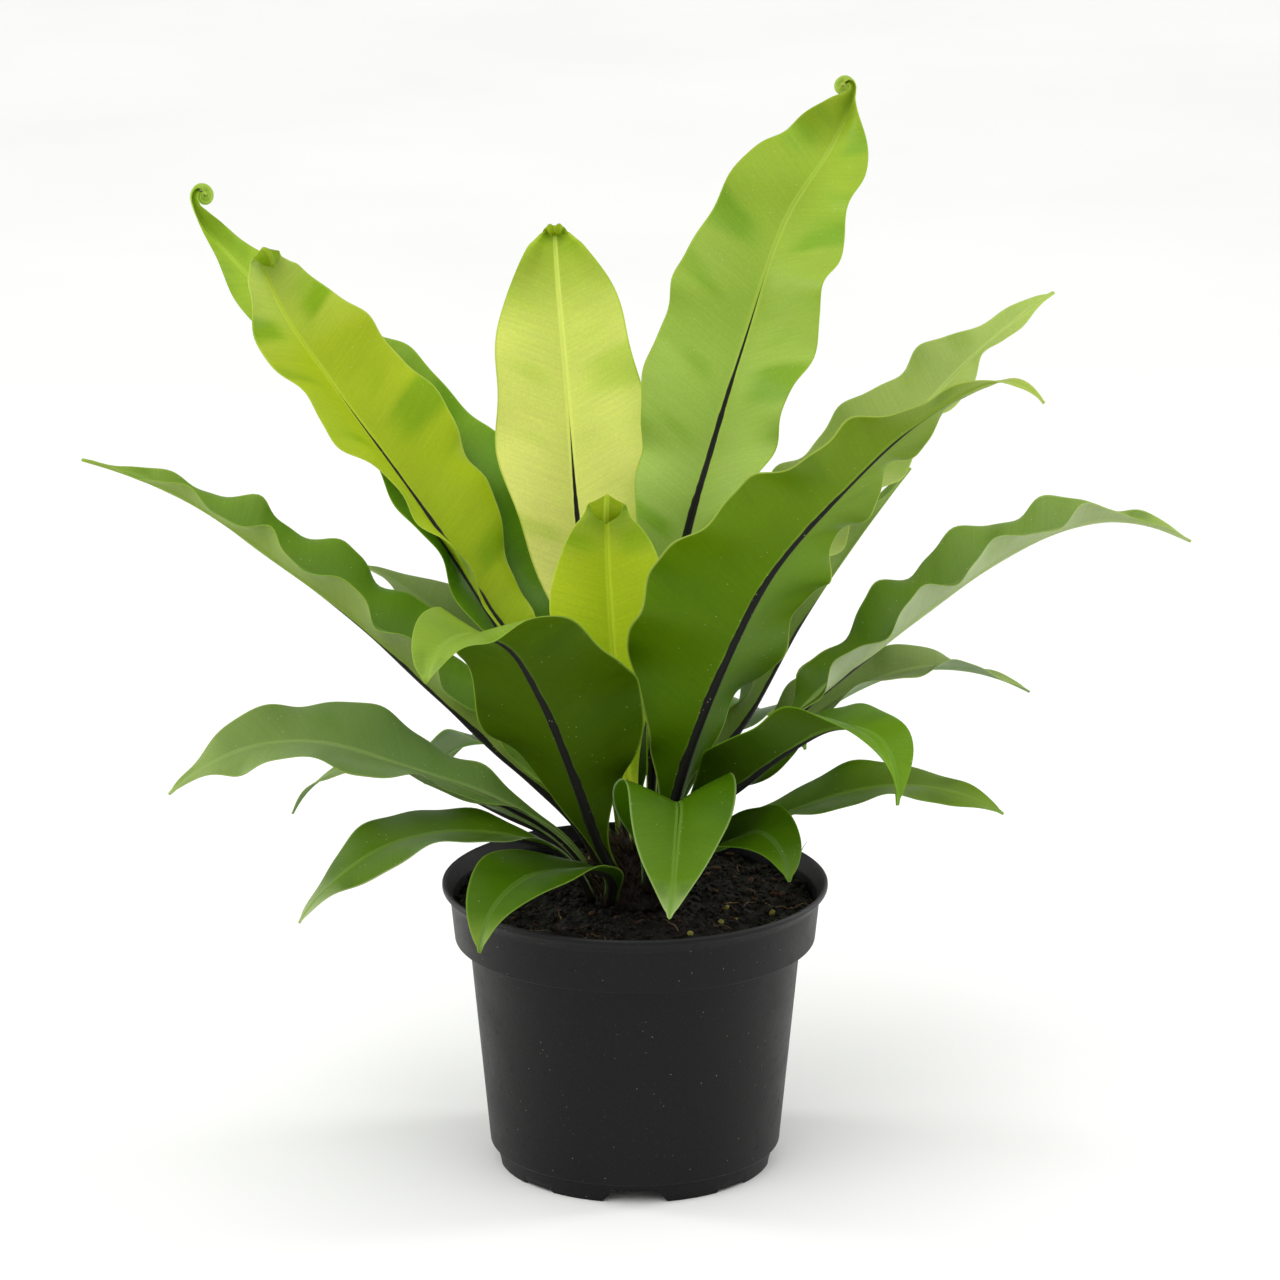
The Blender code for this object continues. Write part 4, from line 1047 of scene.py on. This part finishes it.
def make_crown(rng):
    """The short rootstock, its fibres and the brown scales between the leaf stalks, all coloured darker than
    their own brown as painted shade.
    """
    slope = [(0.0008, SOIL_TOP + CROWN_HEIGHT + 0.0006)]
    slope += [(crown_radius(s), SOIL_TOP + s * CROWN_HEIGHT) for s in np.linspace(1.0, 0.0, 26)]
    slope += [(ROOT_RADIUS, SOIL_TOP), (ROOT_RADIUS * 0.8, SOIL_TOP - ROOT_DEPTH)]

    def knobbly(radius, height, angle):
        shaped = radius.copy()
        for row in range(len(slope) - 2):
            for column in range(angle.shape[1]):
                a, r = angle[row, column], radius[row, column]
                spot = Vector((r * math.cos(a), r * math.sin(a), height[row, column]))
                shaped[row, column] *= 1 + 0.12 * noise.turbulence(spot * 260, 3, False) - 0.06
        return shaped, height

    # Painted shade: the fibres' own dark brown is made darker still, for the shade deep in the plant's
    # heart.
    shade_darkened_fibre = soil_look("crown_fibre_painted_shade_look", rgb(10, 8, 5), rgb(28, 21, 13), 700.0)
    mesh = turned("plant_crown", np.array(slope), even_azimuths(CROWN_COLUMNS), shade_darkened_fibre, knobbly)
    link_piece("plant_crown", mesh, "crown")
    scales = []
    for _ in range(SCALE_COUNT):
        share = rng.uniform(0.0, 0.95)
        azimuth = rng.uniform(0, 2 * math.pi)
        radius = crown_radius(share) + 0.0002
        outward = np.array((math.cos(azimuth), math.sin(azimuth), 0.0))
        side = np.array((-math.sin(azimuth), math.cos(azimuth), 0.0))
        start = outward * radius + np.array((0, 0, SOIL_TOP + share * CROWN_HEIGHT))
        length = rng.uniform(0.004, 0.010)
        lean = rng.uniform(0.2, 0.75)
        sway = rng.uniform(-0.5, 0.5)
        heading = unit(outward * lean + side * sway + np.array((0, 0, 1.0)))
        bend = outward * rng.uniform(-0.1, 0.5)
        steps = np.linspace(0, 1, 6)
        line = [start + heading * length * t + bend * length * t * t for t in steps]
        width = rng.uniform(0.0003, 0.0007)
        scales.append(tube(line, width * (1 - steps**1.5) + 0.00006, 5))
    # Painted shade: the scales' golden brown is darkened, for the shade between the leaf stalks.
    shade_darkened_scale_look = soil_look("crown_scale_painted_shade_look", rgb(20, 14, 8), rgb(70, 52, 30), 800.0)
    joined("crown_scales", scales, shade_darkened_scale_look)


def make_floor():
    half = 5.0
    look = Look("floor_paper", roughness=0.9, specular=0.1)
    clouds = look.noise(look.place(), 3.0, 3.0)
    look.finish(look.ramp(clouds, ((0.3, rgb(244, 244, 243)), (0.7, rgb(248, 248, 247)))))
    corners = [(-half, -half, 0), (half, -half, 0), (half, half, 0), (-half, half, 0)]
    put_in_scene("floor", new_mesh("floor", corners, [(0, 1, 2, 3)], look.material))


def add_strip(name, side):
    """A tall soft light beside the plant: side is 1 for the right and -1 for the left."""
    lamp = bpy.data.lights.new(name, "AREA")
    lamp.shape = "RECTANGLE"
    lamp.size, lamp.size_y, lamp.energy = STRIP_WIDTH, STRIP_HEIGHT, STRIP_POWER
    holder = put_in_scene(name, lamp)
    holder.location = (side * STRIP_PLACE[0], STRIP_PLACE[1], STRIP_PLACE[2])
    aim = Vector(STRIP_TARGET) - holder.location
    holder.rotation_euler = aim.to_track_quat("-Z", "Y").to_euler()


def add_sun(name, azimuth, elevation, softness, strength):
    lamp = bpy.data.lights.new(name, "SUN")
    lamp.angle = math.radians(softness)
    lamp.energy = strength
    turn, lift = math.radians(azimuth), math.radians(elevation)
    heading = Vector((math.cos(turn) * math.cos(lift), math.sin(turn) * math.cos(lift), math.sin(lift)))
    put_in_scene(name, lamp).rotation_euler = heading.to_track_quat("Z", "Y").to_euler()


def make_studio():
    world = bpy.data.worlds.new("studio")
    bpy.context.scene.world = world
    world.use_nodes = True
    sky = world.node_tree.nodes["Background"].inputs
    sky["Color"].default_value = SKY_COLOUR
    sky["Strength"].default_value = SKY_STRENGTH
    add_sun("key", *KEY_SUN)
    add_sun("fill", *FILL_SUN)
    add_strip("left_strip", -1)
    add_strip("right_strip", 1)


def make_camera():
    data = bpy.data.cameras.new("photo_view")
    data.lens = LENS
    data.sensor_width = SENSOR_WIDTH
    camera = put_in_scene("photo_view", data)
    camera.location = CAMERA_PLACE
    camera.rotation_euler = (math.radians(90 - CAMERA_DIP), 0, 0)
    bpy.context.scene.camera = camera


make_camera()
make_studio()
make_floor()
bpy.context.scene.view_settings.view_transform = "Standard"

rng = np.random.default_rng(SEED)
make_pot(pot_look())
soil_radius = make_soil(soil_look("soil_look", rgb(10, 8, 6), rgb(34, 28, 20)))
dress_soil(soil_radius, rng)
make_crown(rng)
for frond in FRONDS:
    make_frond(frond, leaf_looks(frond))
